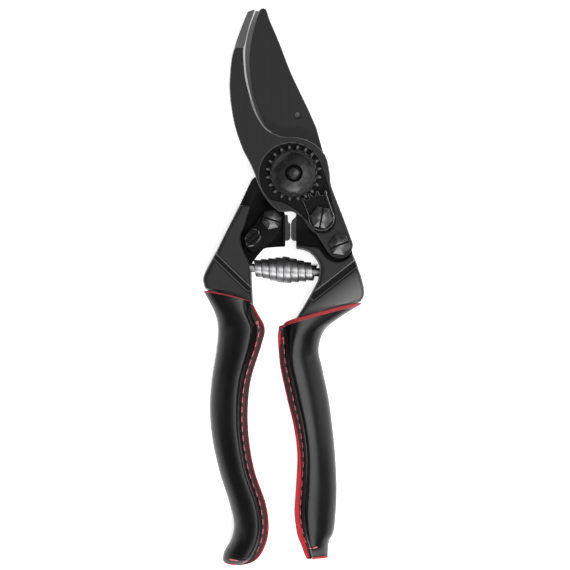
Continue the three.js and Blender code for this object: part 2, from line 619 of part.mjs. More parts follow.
for (let i = 0; i < PAD_RIBS; i += 1) {
  const step = (i - (PAD_RIBS - 1) / 2) * RIB_SPACING;
  const x = PAD_MIDDLE.x + step * Math.sin(ribDirection);
  const y = PAD_MIDDLE.y - step * Math.cos(ribDirection);
  const furrow = turnedBox(REACH, RIB_WIDTH, PAD_FRONT - PAD_RIB_DEPTH, PAD_FRONT + 1, x, y, RIB_DEGREES);
  thumbCatch = thumbCatch.subtract(furrow);
}
const washerFront = washerBack + CATCH_WASHER;
const washer = disc(CATCH_PLACE.x, CATCH_PLACE.y, CATCH_EYE_RADIUS - 0.6, washerBack, washerFront, 24)
  .subtract(disc(CATCH_PLACE.x, CATCH_PLACE.y, screwBore, 0, REACH, 20));

// Volute spring: a flat strip wound into a barrel
function voluteSpring() {
  const length = Math.hypot(SPRING_RIGHT.x - SPRING_LEFT.x, SPRING_RIGHT.y - SPRING_LEFT.y);
  const margin = GAP + STRIP_WIDTH / 2;
  const ribbon = new THREE.BoxGeometry(1, 1, 1, SPRING_TURNS * 12, 1, 1);
  const place = ribbon.attributes.position;
  for (let i = 0; i < place.count; i += 1) {
    const run = place.getX(i) + 0.5;
    const turn = 2 * Math.PI * SPRING_TURNS * run;
    const swell = 1 - Math.abs(2 * run - 1);
    const middle = SPRING_END_RADIUS + (SPRING_MIDDLE_RADIUS - SPRING_END_RADIUS) * swell;
    const radius = middle + place.getZ(i) * STRIP_THICKNESS;
    const along = margin + run * (length - 2 * margin) + place.getY(i) * STRIP_WIDTH;
    place.setXYZ(i, along, radius * Math.cos(turn), radius * Math.sin(turn));
  }
  ribbon.rotateZ(Math.atan2(springAxis.y, springAxis.x));
  ribbon.translate(SPRING_LEFT.x, SPRING_LEFT.y, SPRING_MIDDLE_Z);
  const made = solid(ribbon);
  return made.volume() < 0 ? solid(flipped(ribbon)) : made;
}

piece("left_handle", leftHandle, ...BLACK_METAL);
piece("cutting_blade", cuttingBlade, ...BLADE_STEEL);
piece("blade_screw", turned([
  [0, EYE_BACK - 0.1], [BLADE_SCREW_HEAD, EYE_BACK - 0.1], [BLADE_SCREW_HEAD, EYE_BACK + 0.9],
  [BLADE_SCREW_RADIUS, EYE_BACK + 0.9], [BLADE_SCREW_RADIUS, BLADE_FRONT - 0.8], [0, BLADE_FRONT - 0.8],
], BLADE_SCREW_PLACE.x, BLADE_SCREW_PLACE.y, 20), ...BLADE_STEEL);
piece("pivot_bush", bush, ...BRIGHT_STEEL);
piece("left_buffer", buffer(-1, leftStopX), ...RUBBER);
piece("left_spring_peg", peg(SPRING_LEFT, 1, -PEG_LENGTH, PEG_LENGTH, PEG_RADIUS), ...BRIGHT_STEEL);
piece(
  "catch_screw",
  hexScrew(CATCH_PLACE, CATCH_SCREW_HEAD, catchFront + GAP, HANDLE_BACK + 0.4, CATCH_SLOT),
  ...BLACK_METAL,
);
piece("catch_washer", washer, ...BRIGHT_STEEL);
piece("thumb_catch", thumbCatch, ...BLACK_METAL);
piece("left_cover", sleeve(LEFT_GRIP, RIM_SHARE + 0.006, 1), ...LEATHER_BLACK);
piece("left_rim", sleeve(LEFT_GRIP, 0, RIM_SHARE), ...RED);
piece("left_seam", seam(LEFT_GRIP, 1), ...RED);
piece("right_handle", rightHandle, ...BLACK_METAL);
piece("counter_blade", counterBlade, ...BLADE_STEEL);
piece("pivot_bolt", bolt, ...BLACK_METAL);
piece("pivot_nut", pivotNut, ...BLACK_METAL);
piece("locking_segment", lockingSegment, ...BLACK_METAL);
piece(
  "segment_screw",
  hexScrew(SEGMENT_PLACE, SEGMENT_SCREW_HEAD, NUT_FRONT + GAP, HANDLE_BACK + 1, SEGMENT_SLOT),
  ...BLACK_METAL,
);
piece(
  "hook_screw",
  hexScrew(HOOK_SCREW_PLACE, HOOK_SCREW_HEAD, HOOK_FRONT + GAP, HANDLE_BACK + 1, HOOK_SLOT),
  ...BLACK_METAL,
);
piece(
  "hook_dowel",
  disc(DOWEL_PLACE.x, DOWEL_PLACE.y, DOWEL_RADIUS, HEAD_FRONT - 2.6, HOOK_BACK + 1, 16),
  ...BRIGHT_STEEL,
);
piece("right_buffer", buffer(1, rightStopX), ...RUBBER);
piece("right_spring_peg", peg(SPRING_RIGHT, -1, -PEG_LENGTH, PEG_LENGTH, PEG_RADIUS), ...BRIGHT_STEEL);
piece("right_cover", sleeve(RIGHT_GRIP, RIM_SHARE + 0.006, 1), ...LEATHER_BLACK);
piece("right_rim", sleeve(RIGHT_GRIP, 0, RIM_SHARE), ...RED);
piece("right_seam", seam(RIGHT_GRIP, 1), ...RED);
piece("volute_spring", voluteSpring(), ...BRIGHT_STEEL);

export default group;
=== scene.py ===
import bisect
import math

import bpy
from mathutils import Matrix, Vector


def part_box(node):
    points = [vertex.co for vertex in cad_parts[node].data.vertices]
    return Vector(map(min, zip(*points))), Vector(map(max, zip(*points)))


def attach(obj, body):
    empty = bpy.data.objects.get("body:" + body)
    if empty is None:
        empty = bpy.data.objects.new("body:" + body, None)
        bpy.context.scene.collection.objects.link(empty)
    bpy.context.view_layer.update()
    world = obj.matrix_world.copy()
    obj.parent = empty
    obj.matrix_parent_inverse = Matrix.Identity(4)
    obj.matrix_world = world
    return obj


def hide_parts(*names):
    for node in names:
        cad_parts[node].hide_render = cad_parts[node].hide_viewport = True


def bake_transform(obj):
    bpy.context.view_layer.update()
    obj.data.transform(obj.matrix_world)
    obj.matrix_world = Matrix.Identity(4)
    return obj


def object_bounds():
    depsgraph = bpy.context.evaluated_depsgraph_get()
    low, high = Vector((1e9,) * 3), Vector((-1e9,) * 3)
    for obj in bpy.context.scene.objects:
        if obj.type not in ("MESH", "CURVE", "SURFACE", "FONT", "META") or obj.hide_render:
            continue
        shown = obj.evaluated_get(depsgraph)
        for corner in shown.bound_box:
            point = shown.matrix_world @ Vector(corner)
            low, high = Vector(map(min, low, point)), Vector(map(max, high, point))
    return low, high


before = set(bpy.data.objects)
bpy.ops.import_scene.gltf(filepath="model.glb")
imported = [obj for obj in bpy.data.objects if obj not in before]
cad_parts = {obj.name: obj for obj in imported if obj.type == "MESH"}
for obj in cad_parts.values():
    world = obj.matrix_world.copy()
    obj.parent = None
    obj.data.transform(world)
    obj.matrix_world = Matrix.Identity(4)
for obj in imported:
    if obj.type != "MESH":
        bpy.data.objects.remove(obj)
cad_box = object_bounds()
MM = 0.001


# ---------------------------------------------------------------- studio
# The shears lie on their back on a white light table, under a large soft box overhead. A second one
# stands off the ends of the grips, and a long low strip on either side draws the edges. The camera
# looks straight down on the nut's side.

bpy.context.scene.view_settings.view_transform = "Standard"

world = bpy.data.worlds.new("studio")
bpy.context.scene.world = world
world.use_nodes = True
world.node_tree.nodes["Background"].inputs["Color"].default_value = (1, 1, 1, 1)
world.node_tree.nodes["Background"].inputs["Strength"].default_value = 0.05

FLOOR_SIZE = 6
FLOOR_GAP = 0.4 * MM  # between the floor and the backs of the shears
bpy.ops.object.select_all(action="DESELECT")
bpy.ops.mesh.primitive_plane_add(size=FLOOR_SIZE, location=(0, 0, cad_box[0].z - FLOOR_GAP))
floor = bpy.context.object
floor.name = "floor"
bpy.ops.object.transform_apply(location=True, rotation=True, scale=True)
floor_paint = bpy.data.materials.new("floor_paint")
floor_paint.use_nodes = True
paint = floor_paint.node_tree.nodes["Principled BSDF"]
paint.inputs["Base Color"].default_value = (0.93, 0.93, 0.93, 1)
paint.inputs["Roughness"].default_value = 0.9
paint.inputs["Specular IOR Level"].default_value = 0
paint.inputs["Emission Color"].default_value = (1, 1, 1, 1)
paint.inputs["Emission Strength"].default_value = 0.72
floor.data.materials.append(floor_paint)


middle = (cad_box[0] + cad_box[1]) / 2


def soft_box(name, place, width, height, power):
    """An area light in metres and watts that points at the middle of the shears."""
    bpy.ops.object.light_add(type="AREA", location=place)
    lamp = bpy.context.object
    lamp.name = name
    lamp.data.shape = "RECTANGLE"
    lamp.data.size, lamp.data.size_y = width, height
    lamp.data.energy = power
    lamp.rotation_mode = "QUATERNION"
    lamp.rotation_quaternion = (Vector(middle) - Vector(place)).to_track_quat("-Z", "Y")


soft_box("overhead", (0.38, 0.0, 1.7), 0.6, 1.1, 21)
soft_box("near", (0.1, -1.1, 1.0), 0.8, 0.3, 16)
soft_box("left_strip", (-0.8, -0.05, 0.14), 0.1, 0.9, 0.6)
soft_box("right_strip", (0.8, 0.05, 0.14), 0.1, 0.9, 1.5)

CAMERA_HEIGHT = 1.5
VIEW_WIDTH = 199.5 * MM  # what the frame takes in at the shears
SHIFT_X, SHIFT_Y = 0.45 * MM, 0.6 * MM  # from the middle of the shears to the middle of the frame
bpy.ops.object.camera_add(location=(middle.x + SHIFT_X, middle.y + SHIFT_Y, CAMERA_HEIGHT))
camera = bpy.context.object
camera.rotation_euler = (0, 0, 0)
camera.data.lens = camera.data.sensor_width * (CAMERA_HEIGHT - middle.z) / VIEW_WIDTH
bpy.context.scene.camera = camera


# ---------------------------------------------------------------- forged handles
# Two hot-forged light-alloy handles with a black satin coat, painted lighter along their bevels as
# a painted highlight and partly as worn coat. The grip end of each runs inside its leather sleeve and
# is cut off there, out of sight.


class Wire:
    """An output of a material's nodes. Sums on it add Math nodes."""

    def __init__(self, tree, socket=None):
        self.tree = tree
        self.socket = socket

    def node(self, kind, settings=None, sockets=None, output=0):
        made = self.tree.nodes.new(kind)
        for key, value in (settings or {}).items():
            if key == "stops":
                ramp = made.color_ramp.elements
                for index, (place, shade) in enumerate(value):
                    stop = ramp[index] if index < 2 else ramp.new(place)
                    stop.position = place
                    stop.color = (shade, shade, shade, 1)
            else:
                setattr(made, key, value)
        for key, value in (sockets or {}).items():
            if isinstance(value, Wire):
                self.tree.links.new(value.socket, made.inputs[key])
            else:
                made.inputs[key].default_value = value
        return Wire(self.tree, made.outputs[output])

    def math(self, operation, first, second):
        return self.node("ShaderNodeMath", {"operation": operation}, {0: first, 1: second})

    def __add__(self, other):
        return self.math("ADD", self, other)

    __radd__ = __add__

    def __sub__(self, other):
        return self.math("SUBTRACT", self, other)

    def __rsub__(self, other):
        return self.math("SUBTRACT", other, self)

    def __mul__(self, other):
        return self.math("MULTIPLY", self, other)

    __rmul__ = __mul__

    def at(self, scale):
        """This vector stretched by (x, y, z), in cells to the metre."""
        return self.node("ShaderNodeMapping", {}, {"Vector": self, "Scale": scale})

    def part(self, axis):
        return self.node("ShaderNodeSeparateXYZ", {}, {0: self}, axis)

    def noise(self, scale, detail=3):
        return self.node("ShaderNodeTexNoise", {}, {"Vector": self, "Scale": scale, "Detail": detail})

    def ramp(self, low, high):
        return self.node("ShaderNodeValToRGB", {"stops": [(low, 0), (high, 1)]}, {"Fac": self})

    def between(self, dark, light):
        """A colour from dark to light as this value goes from 0 to 1."""
        settings = {"data_type": "RGBA"}
        return self.node("ShaderNodeMix", settings, {0: self, 6: (*dark, 1), 7: (*light, 1)}, 2)

    def bump(self, depth, strength=1.0):
        return self.node("ShaderNodeBump", {}, {"Height": self, "Distance": depth, "Strength": strength})


def finish_of(name):
    """A new material, its shader and a wire that starts from the place on the object."""
    material = bpy.data.materials.new(name)
    material.use_nodes = True
    start = Wire(material.node_tree).node("ShaderNodeTexCoord", output="Object")
    return material, material.node_tree.nodes["Principled BSDF"], start


def feed(shader, **sockets):
    for key, value in sockets.items():
        socket = shader.inputs[key.replace("_", " ")]
        if isinstance(value, Wire):
            value.tree.links.new(value.socket, socket)
        else:
            socket.default_value = value


def slope_of(place):
    """0 where the surface faces straight up or down, rising to 1 on its edges and walls."""
    upright = place.node("ShaderNodeTexCoord", output="Normal").part(2)
    return (1 - upright.math("ABSOLUTE", upright, 0)).ramp(0.02, 0.32)


def satin_black():
    """Satin coat, painted lighter on its bevels (a painted highlight and partly worn coat) and towards
    the right handle's shoulder (a painted highlight), and darker down in the pockets (painted shade).
    """
    material, shader, place = finish_of("satin_black")
    mottle = place.noise(260, 4)
    grain = place.noise(5200, 2)
    height = place.part(2) * 50  # 0 to 1 over 20 mm
    # Painted shade: the coat is painted near black down in the pockets, where raised is 0.
    raised = height.ramp(0.25, 0.475)  # 0 down in the pockets
    top = height.ramp(0.752, 0.77)  # 1 on the front faces
    # 1 on the bevels just below the front, painted lighter: a painted highlight, partly worn coat.
    edge = slope_of(place) * height.ramp(0.67, 0.71) * (1 - height.ramp(0.735, 0.76))
    # Painted highlight: paler towards the shoulder of the right handle.
    shoulder_highlight = (place.part(0) * 6 - place.part(1) * 8).ramp(0.4, 0.47) * top
    shade = raised * (0.01 + top * (0.005 + 0.045 * mottle) + 0.7 * edge + 0.42 * shoulder_highlight)
    feed(
        shader,
        Base_Color=shade.between((0.003,) * 3, (0.3,) * 3),
        Metallic=0.2,
        Specular_IOR_Level=0.3,
        Roughness=0.95 - (top + edge) * (0.43 - 0.12 * mottle - 0.06 * grain),
        Normal=grain.bump(0.05 * MM, 0.8),
    )
    return material


def only(piece):
    """Selects one piece alone and makes it the active one."""
    bpy.ops.object.select_all(action="DESELECT")
    piece.select_set(True)
    bpy.context.view_layer.objects.active = piece


def modify(piece, kind, **settings):
    only(piece)
    modifier = piece.modifiers.new(kind.lower(), kind)
    for key, value in settings.items():
        setattr(modifier, key, value)
    bpy.ops.object.modifier_apply(modifier=modifier.name)


def copy_of(node, name):
    """A merged copy of a CAD node's mesh, to be shaped further."""
    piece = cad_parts[node].copy()
    piece.data = piece.data.copy()
    piece.name = name
    piece.parent = None
    for key in list(piece.keys()):
        del piece[key]
    bpy.context.scene.collection.objects.link(piece)
    only(piece)
    piece.data.materials.clear()
    bpy.ops.object.mode_set(mode="EDIT")
    bpy.ops.mesh.select_all(action="SELECT")
    bpy.ops.mesh.remove_doubles(threshold=0.002 * MM)
    bpy.ops.object.mode_set(mode="OBJECT")
    return piece


def cut_away(piece, place, normal):
    """Takes off what lies on the normal's side of a plane and closes the cut."""
    only(piece)
    bpy.ops.object.mode_set(mode="EDIT")
    bpy.ops.mesh.select_all(action="SELECT")
    bpy.ops.mesh.bisect(plane_co=place, plane_no=normal, use_fill=True, clear_outer=True)
    bpy.ops.object.mode_set(mode="OBJECT")


def done(piece, body, materials, nodes=()):
    """Gives a finished piece its materials and body, and hides the CAD nodes it stands in for."""
    for material in materials:
        piece.data.materials.append(material)
    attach(piece, body)
    if nodes:
        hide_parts(*nodes)


def plate(name, loops, back, front, chamfer):
    """A flat piece in millimetres from closed outlines, the second and later ones being holes."""
    bpy.ops.object.select_all(action="DESELECT")
    bpy.ops.curve.primitive_bezier_circle_add()
    piece = bpy.context.object
    piece.name = name
    outline = piece.data
    outline.splines.clear()
    outline.dimensions = "2D"
    outline.fill_mode = "BOTH"
    for loop in loops:
        spline = outline.splines.new("POLY")
        spline.points.add(len(loop) - 1)
        for point, (x, y) in zip(spline.points, loop):
            point.co = (x * MM, y * MM, 0, 1)
        spline.use_cyclic_u = True
    outline.extrude = ((front - back) / 2 - chamfer) * MM
    outline.bevel_depth = chamfer * MM
    outline.bevel_resolution = 0
    outline.offset = -chamfer * MM
    bpy.ops.object.convert(target="MESH")
    piece = bpy.context.object
    piece.data.name = name
    piece.location.z = (back + front) / 2 * MM
    bpy.ops.object.transform_apply(location=True, rotation=True, scale=True)
    bpy.ops.object.mode_set(mode="EDIT")
    bpy.ops.mesh.select_all(action="SELECT")
    bpy.ops.mesh.remove_doubles(threshold=0.003 * MM)
    bpy.ops.mesh.normals_make_consistent(inside=False)
    bpy.ops.object.mode_set(mode="OBJECT")
    return piece


def carve(piece, tool):
    modify(piece, "BOOLEAN", operation="DIFFERENCE", solver="EXACT", object=tool)
    bpy.data.objects.remove(tool)


FORGING_VOXEL = 0.34 * MM
TRIM_BACK, TRIM_FRONT = -5, 25  # beyond the handles on both sides
handle_black = satin_black()


def forge(side, cut_place, cut_normal, spare_corner):
    """Cuts a handle off at a plane inside its sleeve, and a corner off by an outline."""
    handle = copy_of(f"{side}_handle", f"{side}_forging")
    cut_away(handle, cut_place, cut_normal)
    carve(handle, plate("trim", [spare_corner], TRIM_BACK, TRIM_FRONT, 0.01))
    modify(handle, "REMESH", mode="VOXEL", voxel_size=FORGING_VOXEL)
    modify(handle, "SMOOTH", factor=0.5, iterations=3)
    bpy.ops.object.shade_smooth()
    done(handle, f"{side}_side", [handle_black], [f"{side}_handle"])


forge(
    "left", (-22.7 * MM, -45.5 * MM, 0), (-0.31, -0.95, 0),
    [(-13.9, -40), (-14, -46.6), (-14.6, -47.6), (-8, -51), (-8, -40)],
)
forge(
    "right", (9.4 * MM, -50.3 * MM, 0), (0.26, -0.97, 0),
    [(-9, -43), (-9, -55.5), (0.3, -52.2), (0.9, -50.8), (5.6, -43)],
)


# ---------------------------------------------------------------- cutting blade
# Flat steel blade with a dark coat, brushed along its length. Its cutting edge is ground on the
# back and stays bright. It lies under the hook, held by the pivot and one small screw.


def smooth_shade(piece, degrees):
    only(piece)
    bpy.ops.object.shade_smooth_by_angle(angle=math.radians(degrees))


def arc(x, y, radius, start, end, steps):
    turns = [math.radians(start + (end - start) * i / steps) for i in range(steps + 1)]
    return [(x + radius * math.cos(a), y + radius * math.sin(a)) for a in turns]


def curved(points, per=6):
    """A smooth line through points, with so many steps between two of them."""
    line = []
    last = len(points) - 1
    for i in range(last):
        before = points[max(i - 1, 0)]
        a, b = points[i], points[i + 1]
        after = points[min(i + 2, last)]
        for step in range(per):
            t = step / per
            line.append(tuple(
                0.5 * (2 * q + (r - p) * t + (2 * p - 5 * q + 4 * r - s) * t * t
                       + (3 * q - p - 3 * r + s) * t ** 3)
                for p, q, r, s in zip(before, a, b, after)
            ))
    line.append(tuple(points[-1]))
    return line


def join(main, *others):
    only(main)
    for other in others:
        other.select_set(True)
    bpy.ops.object.join()


def paint_slanted(piece, slot, low, high, where=None):
    """Gives faces whose normal rises by low to high of a right angle's sine another material slot."""
    for face in piece.data.polygons:
        if low < abs(face.normal.z) < high and (where is None or where(face.center)):
            face.material_index = slot


def loft(name, rings, slots=(), open_start=False):
    """A closed piece through rings of points in metres. slots[i] is the material slot of the strip
    between the rings' points i and i + 1."""
    around = len(rings[0])
    bpy.ops.object.select_all(action="DESELECT")
    bpy.ops.mesh.primitive_grid_add(x_subdivisions=around, y_subdivisions=len(rings) - 1)
    piece = bpy.context.object
    piece.name = name
    for row, ring in enumerate(rings):
        for column in range(around + 1):
            piece.data.vertices[row * (around + 1) + column].co = ring[column % around]
    for face in piece.data.polygons if slots else []:
        face.material_index = slots[face.index % around]
    bpy.ops.object.mode_set(mode="EDIT")
    bpy.ops.mesh.select_all(action="SELECT")
    bpy.ops.mesh.remove_doubles(threshold=0.001 * MM)
    if not open_start:
        bpy.ops.mesh.fill_holes(sides=0)
    bpy.ops.mesh.select_all(action="SELECT")
    bpy.ops.mesh.normals_make_consistent(inside=False)
    bpy.ops.object.mode_set(mode="OBJECT")
    return piece


def wheel(x, y, radius_at, heights, sides=72, turn=0.0):
    """Rings round (x, y) in millimetres: radius_at gives each ring's radius at an angle."""
    rings = []
    for index, z in enumerate(heights):
        ring = []
        for k in range(sides):
            angle = 2 * math.pi * k / sides
            radius = radius_at(index, angle)
            ring.append(Vector((
                x + radius * math.cos(angle + turn), y + radius * math.sin(angle + turn), z,
            )) * MM)
        rings.append(ring)
    return rings


def turned(name, x, y, profile, sides=72):
    """A turned piece from (radius, height) pairs."""
    return loft(name, wheel(x, y, lambda i, a: max(profile[i][0], 0.001), [z for _, z in profile], sides))


def blade_steel(name, dark, light, rough):
    """Dark coated steel, brushed along Y."""
    material, shader, place = finish_of(name)
    streaks = place.at((9000, 110, 2000)).noise(1, 2)
    broad = place.at((1400, 22, 300)).noise(1, 2)
    mix = 0.55 * streaks + 0.45 * broad
    feed(
        shader,
        Base_Color=mix.ramp(0.3, 0.7).between(dark, light),
        Metallic=0.75,
        Roughness=rough + 0.16 * mix,
        Normal=streaks.bump(0.01 * MM, 0.35),
    )
    return material


def bright_edge(name, shade, rough):
    """Bright steel along an edge, partly ground or worn steel and partly a painted highlight, made
    duller towards the pivot by painted shade.
    """
    material, shader, place = finish_of(name)
    wear = place.noise(900, 3)
    # Painted shade: the edges are dulled towards the pivot, below about 28 mm up the shears.
    pivot_shade_falloff = (place.part(1) * 10).ramp(0.1, 0.28)
    feed(
        shader,
        Base_Color=((0.22 + 0.78 * pivot_shade_falloff) * (0.7 + 0.3 * wear)).between((0, 0, 0), (shade,) * 3),
        Metallic=0.5,
        Roughness=rough + 0.15 * wear,
    )
    return material


blade_dark = blade_steel("blade_dark", (0.012, 0.012, 0.012), (0.02, 0.02, 0.02), 0.5)
band_grey = blade_steel("band_grey", (0.085, 0.085, 0.085), (0.12, 0.12, 0.12), 0.5)
edge_bright = bright_edge("edge_bright", 0.6, 0.4)

blade_low, blade_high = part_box("cutting_blade")
BLADE_BACK, BLADE_FRONT = blade_low.z / MM, blade_high.z / MM
EYE_RADIUS = 12.3
BUSH_HOLE = 5
SAP_HOLE = (1.5, 20.3, 1.1)  # x, y and radius
BLADE_CHAMFER = 0.2

cutting_edge = curved([
    (-12.9, 54.5), (-14.9, 49.5), (-16.5, 44), (-17.2, 38), (-17.1, 31), (-16, 24), (-14.2, 16), (-12.7, 8),
    (-12.3, 0),
], 5)
spine = [
    (10.6, 6.3), (10, 8.6), (8, 16),
    *curved([(5.3, 22.2), (2, 29.1), (-1.4, 36.5), (-4.7, 45.2), (-8.2, 53.4)], 5),
]
blade = plate(
    "bypass_blade",
    [
        [*cutting_edge, *arc(0, 0, EYE_RADIUS, 184, 388, 60), *spine, *arc(-10.7, 56.4, 1.45, 15, 150, 8)],
        arc(0, 0, BUSH_HOLE, 0, 350, 35),
        arc(*SAP_HOLE, 0, 345, 23),
    ],
    BLADE_BACK,
    BLADE_FRONT,
    BLADE_CHAMFER,
)
# The sap hole is blind: this turned plug is its floor and walls.
pit = turned("pit", *SAP_HOLE[:2], [
    (1.2, BLADE_BACK + 0.1), (1.2, BLADE_FRONT - 0.3), (1.1, BLADE_FRONT - 0.25), (0.3, BLADE_FRONT - 0.9),
    (0, BLADE_FRONT - 0.95), (0, BLADE_BACK + 0.1),
], 24)
GRIND_WIDTH = 5.2
GRIND_LEAN = 0.6  # how much nearer the tip the grind's inner line lies
EDGE_THICKNESS = 0.35
CLEAR = 3  # how far the grindstone reaches past the blade
drop = BLADE_FRONT - BLADE_BACK - EDGE_THICKNESS
slope = drop / GRIND_WIDTH
grind_rings = []
for x, y in cutting_edge[2:-6]:
    grind_rings.append([
        Vector((x + GRIND_WIDTH, y + GRIND_LEAN, BLADE_BACK)) * MM,
        Vector((x - CLEAR, y, BLADE_BACK + drop + CLEAR * slope)) * MM,
        Vector((x - CLEAR, y, BLADE_BACK - CLEAR)) * MM,
        Vector((x + GRIND_WIDTH, y + GRIND_LEAN, BLADE_BACK - CLEAR)) * MM,
    ])
grindstone = loft("grindstone", grind_rings)
carve(blade, grindstone)
# The blade's bevels get the bright edge steel: partly worn steel, partly a painted highlight.
paint_slanted(blade, 1, 0.25, 0.93)
# The ground face is bright too, but nothing round the sap hole is.
BARE_RADIUS = 1.5
for face in blade.data.polygons:
    if math.dist(face.center[:2], (SAP_HOLE[0] * MM, SAP_HOLE[1] * MM)) < BARE_RADIUS * MM:
        face.material_index = 0
    elif 0.55 < -face.normal.z < 0.99 and face.center.z > BLADE_BACK * MM + 0.01 * MM:
        face.material_index = 1
for material in (blade_dark, edge_bright):
    blade.data.materials.append(material)
pit.data.materials.append(band_grey)
join(blade, pit)
smooth_shade(blade, 25)
done(blade, "left_side", [], ["cutting_blade"])


# ---------------------------------------------------------------- counter blade
# Hook-shaped plate in front of the blade. Its inner edge slopes down to the shearing edge, its tip
# is ground off, and a shallow recess round the pivot takes the nut and its locking segment.

# Near black for the recess floor round the pivot, the segment's face and the screw slots: painted shade.
shade_black = blade_steel("shade_black", (0.003, 0.003, 0.003), (0.005, 0.005, 0.005), 0.75)
feed(shade_black.node_tree.nodes["Principled BSDF"], Metallic=0.1, Specular_IOR_Level=0.2)

hook_low, hook_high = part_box("counter_blade")
HOOK_BACK, HOOK_FRONT = hook_low.z / MM, hook_high.z / MM
RECESS_DEPTH = 0.8
HOOK_CHAMFER = 0.28
recess_line = [
    *arc(-0.9, -0.7, 11.2, 14, 232, 60),
    *curved([(-4.2, -10.2), (0.2, -12.5), (3, -14.9), (5.4, -18.6), (8, -20.7), (11.6, -20.9), (14.2, -18.4),
             (14.7, -14.8), (13.6, -10.4), (12.3, -4.6), (11.2, -1)], 5),
]
ridge = curved([
    (9.6, 8.1), (7.3, 10.2), (4, 11.8), (0.9, 12.5), (-3.4, 12.7), (-7.4, 14), (-10.1, 16), (-12.4, 19.4),
    (-14.1, 23.1), (-15.4, 28.1), (-16.5, 32.4), (-17.1, 37.5), (-17.3, 42.8), (-16.6, 46.8), (-15.4, 51.9),
    (-13.5, 57.2),
], 5)
outer = curved([
    (-16, 56.5), (-18.4, 50.5), (-20.4, 44.8), (-21.8, 39.8), (-22.5, 31.4), (-22.1, 24.7), (-20.6, 16.4),
    (-17.9, 8.6), (-15.4, 3.8), (-13.7, 0), (-12.5, -3.6), (-10.7, -7.2), (-8.1, -10.9), (-5.2, -13.3),
], 5)
tang = [
    *curved([(-3, -13.5), (-0.3, -13.5), (2.6, -15.2), (5.6, -17.8), (8.6, -22.2), (11.3, -26.4)], 5),
    *arc(16, -25.1, 4.7, 205, 368, 26),
    *curved([(19.8, -22.2), (18.4, -18.3), (16.1, -12.3), (14.1, -7.2), (13, -3.9), (12.6, 0), (11.9, 3.9),
             (11, 6.3)], 5),
]
hook = plate(
    "hook", [[*ridge[:-1], (-13.5, 57.3), *outer, *tang], recess_line], HOOK_BACK, HOOK_FRONT, HOOK_CHAMFER,
)
TIP_SLOPE = math.radians(7)  # of the facet ground on the tip
FACET_START = 43.4
cut_away(hook, (0, FACET_START * MM, HOOK_FRONT * MM), (0, math.sin(TIP_SLOPE), math.cos(TIP_SLOPE)))
recess_floor = plate(
    "recess_floor",
    [[(x * 1.03, y * 1.02) for x, y in recess_line]],  # a little wider, to reach under the hook
    HOOK_BACK + 0.05,
    HOOK_FRONT - RECESS_DEPTH,
    0.02,
)
shear_edge = curved([
    (-7.4, 13.9), (-10.1, 17.6), (-11.8, 21.2), (-13.8, 26.7), (-14.9, 32.4), (-15.4, 38), (-15.3, 42.6),
    (-14.5, 47.8), (-13.5, 51.8), (-12, 56.7),
], 5)
band_ridge = curved([
    (-7.4, 14), (-10.1, 16), (-12.4, 19.4), (-14.1, 24), (-15.8, 30), (-16.9, 36), (-17.3, 42), (-16.7, 46.6),
    (-15.6, 51.2), (-13.6, 56.8),
], 5)
SHEAR_HEIGHT = 1.5  # of the shearing edge above the hook's back
EDGE_LINE = 0.34  # width of the bright lines along both sides of the band
OVERLAP = 0.5  # how far the band reaches into the hook
band_rings = []
for (rx, ry), (sx, sy) in zip(band_ridge, shear_edge):
    step = Vector((sx - rx, sy - ry, 0)).normalized()
    tip_drop = max(0, ry - FACET_START) * math.tan(TIP_SLOPE)
    top = HOOK_FRONT - 0.12 - tip_drop
    low = min(HOOK_BACK + SHEAR_HEIGHT, top - 0.1)
    fall = (top - low) / max(0.4, math.dist((rx, ry), (sx, sy)))
    band_rings.append([
        Vector((rx - step.x * OVERLAP, ry - step.y * OVERLAP, top - 0.04)) * MM,
        Vector((rx, ry, top + 0.04)) * MM,
        Vector((rx + step.x * EDGE_LINE, ry + step.y * EDGE_LINE, top - fall * EDGE_LINE)) * MM,
        Vector((sx - step.x * EDGE_LINE, sy - step.y * EDGE_LINE, low + fall * EDGE_LINE * 0.6)) * MM,
        Vector((sx, sy, low - 0.1)) * MM,
        Vector((sx, sy, HOOK_BACK)) * MM,
        Vector((rx - step.x * OVERLAP, ry - step.y * OVERLAP, HOOK_BACK)) * MM,
    ])
# Material slots: 0 dark coat, 1 bright line (a painted highlight along the ridge), 2 ground band, 3 recess
# (painted shade).
band = loft("shear_band", band_rings, (1, 1, 2, 2, 0, 0, 0))
for piece in (hook, recess_floor, band):
    for material in (blade_dark, edge_bright, band_grey, shade_black):
        piece.data.materials.append(material)
# The hook's bevels get the bright edge steel: partly worn steel, partly a painted highlight.
paint_slanted(hook, 1, 0.2, 0.95)
paint_slanted(hook, 2, 0.97, 0.9999, lambda c: c.y > (FACET_START - 0.3) * MM)
# The recess floor is painted near black: painted shade.
paint_slanted(recess_floor, 3, 0.9, 2)
join(hook, recess_floor, band)
smooth_shade(hook, 25)
done(hook, "right_side", [], ["counter_blade"])


# ---------------------------------------------------------------- pivot
# Bolt with a domed end through a toothed nut, and the locking segment whose teeth hold the nut.
# The bolt and the blade's screw keep their plain turned shapes and only get a finish.


def oxide(name, dark, light, rough):
    """Black oxide on turned and stamped steel, rubbed lighter in places."""
    material, shader, place = finish_of(name)
    tone = place.noise(620, 4)
    fine = place.noise(6000, 2)
    feed(
        shader,
        Base_Color=tone.ramp(0.35, 0.75).between(dark, light),
        Metallic=0.85,
        Roughness=rough + 0.16 * tone,
        Normal=fine.bump(0.012 * MM, 0.5),
    )
    return material


hardware = oxide("hardware", (0.024, 0.024, 0.024), (0.04, 0.04, 0.04), 0.3)
hub_black = oxide("hub_black", (0.03, 0.03, 0.03), (0.055, 0.055, 0.055), 0.34)
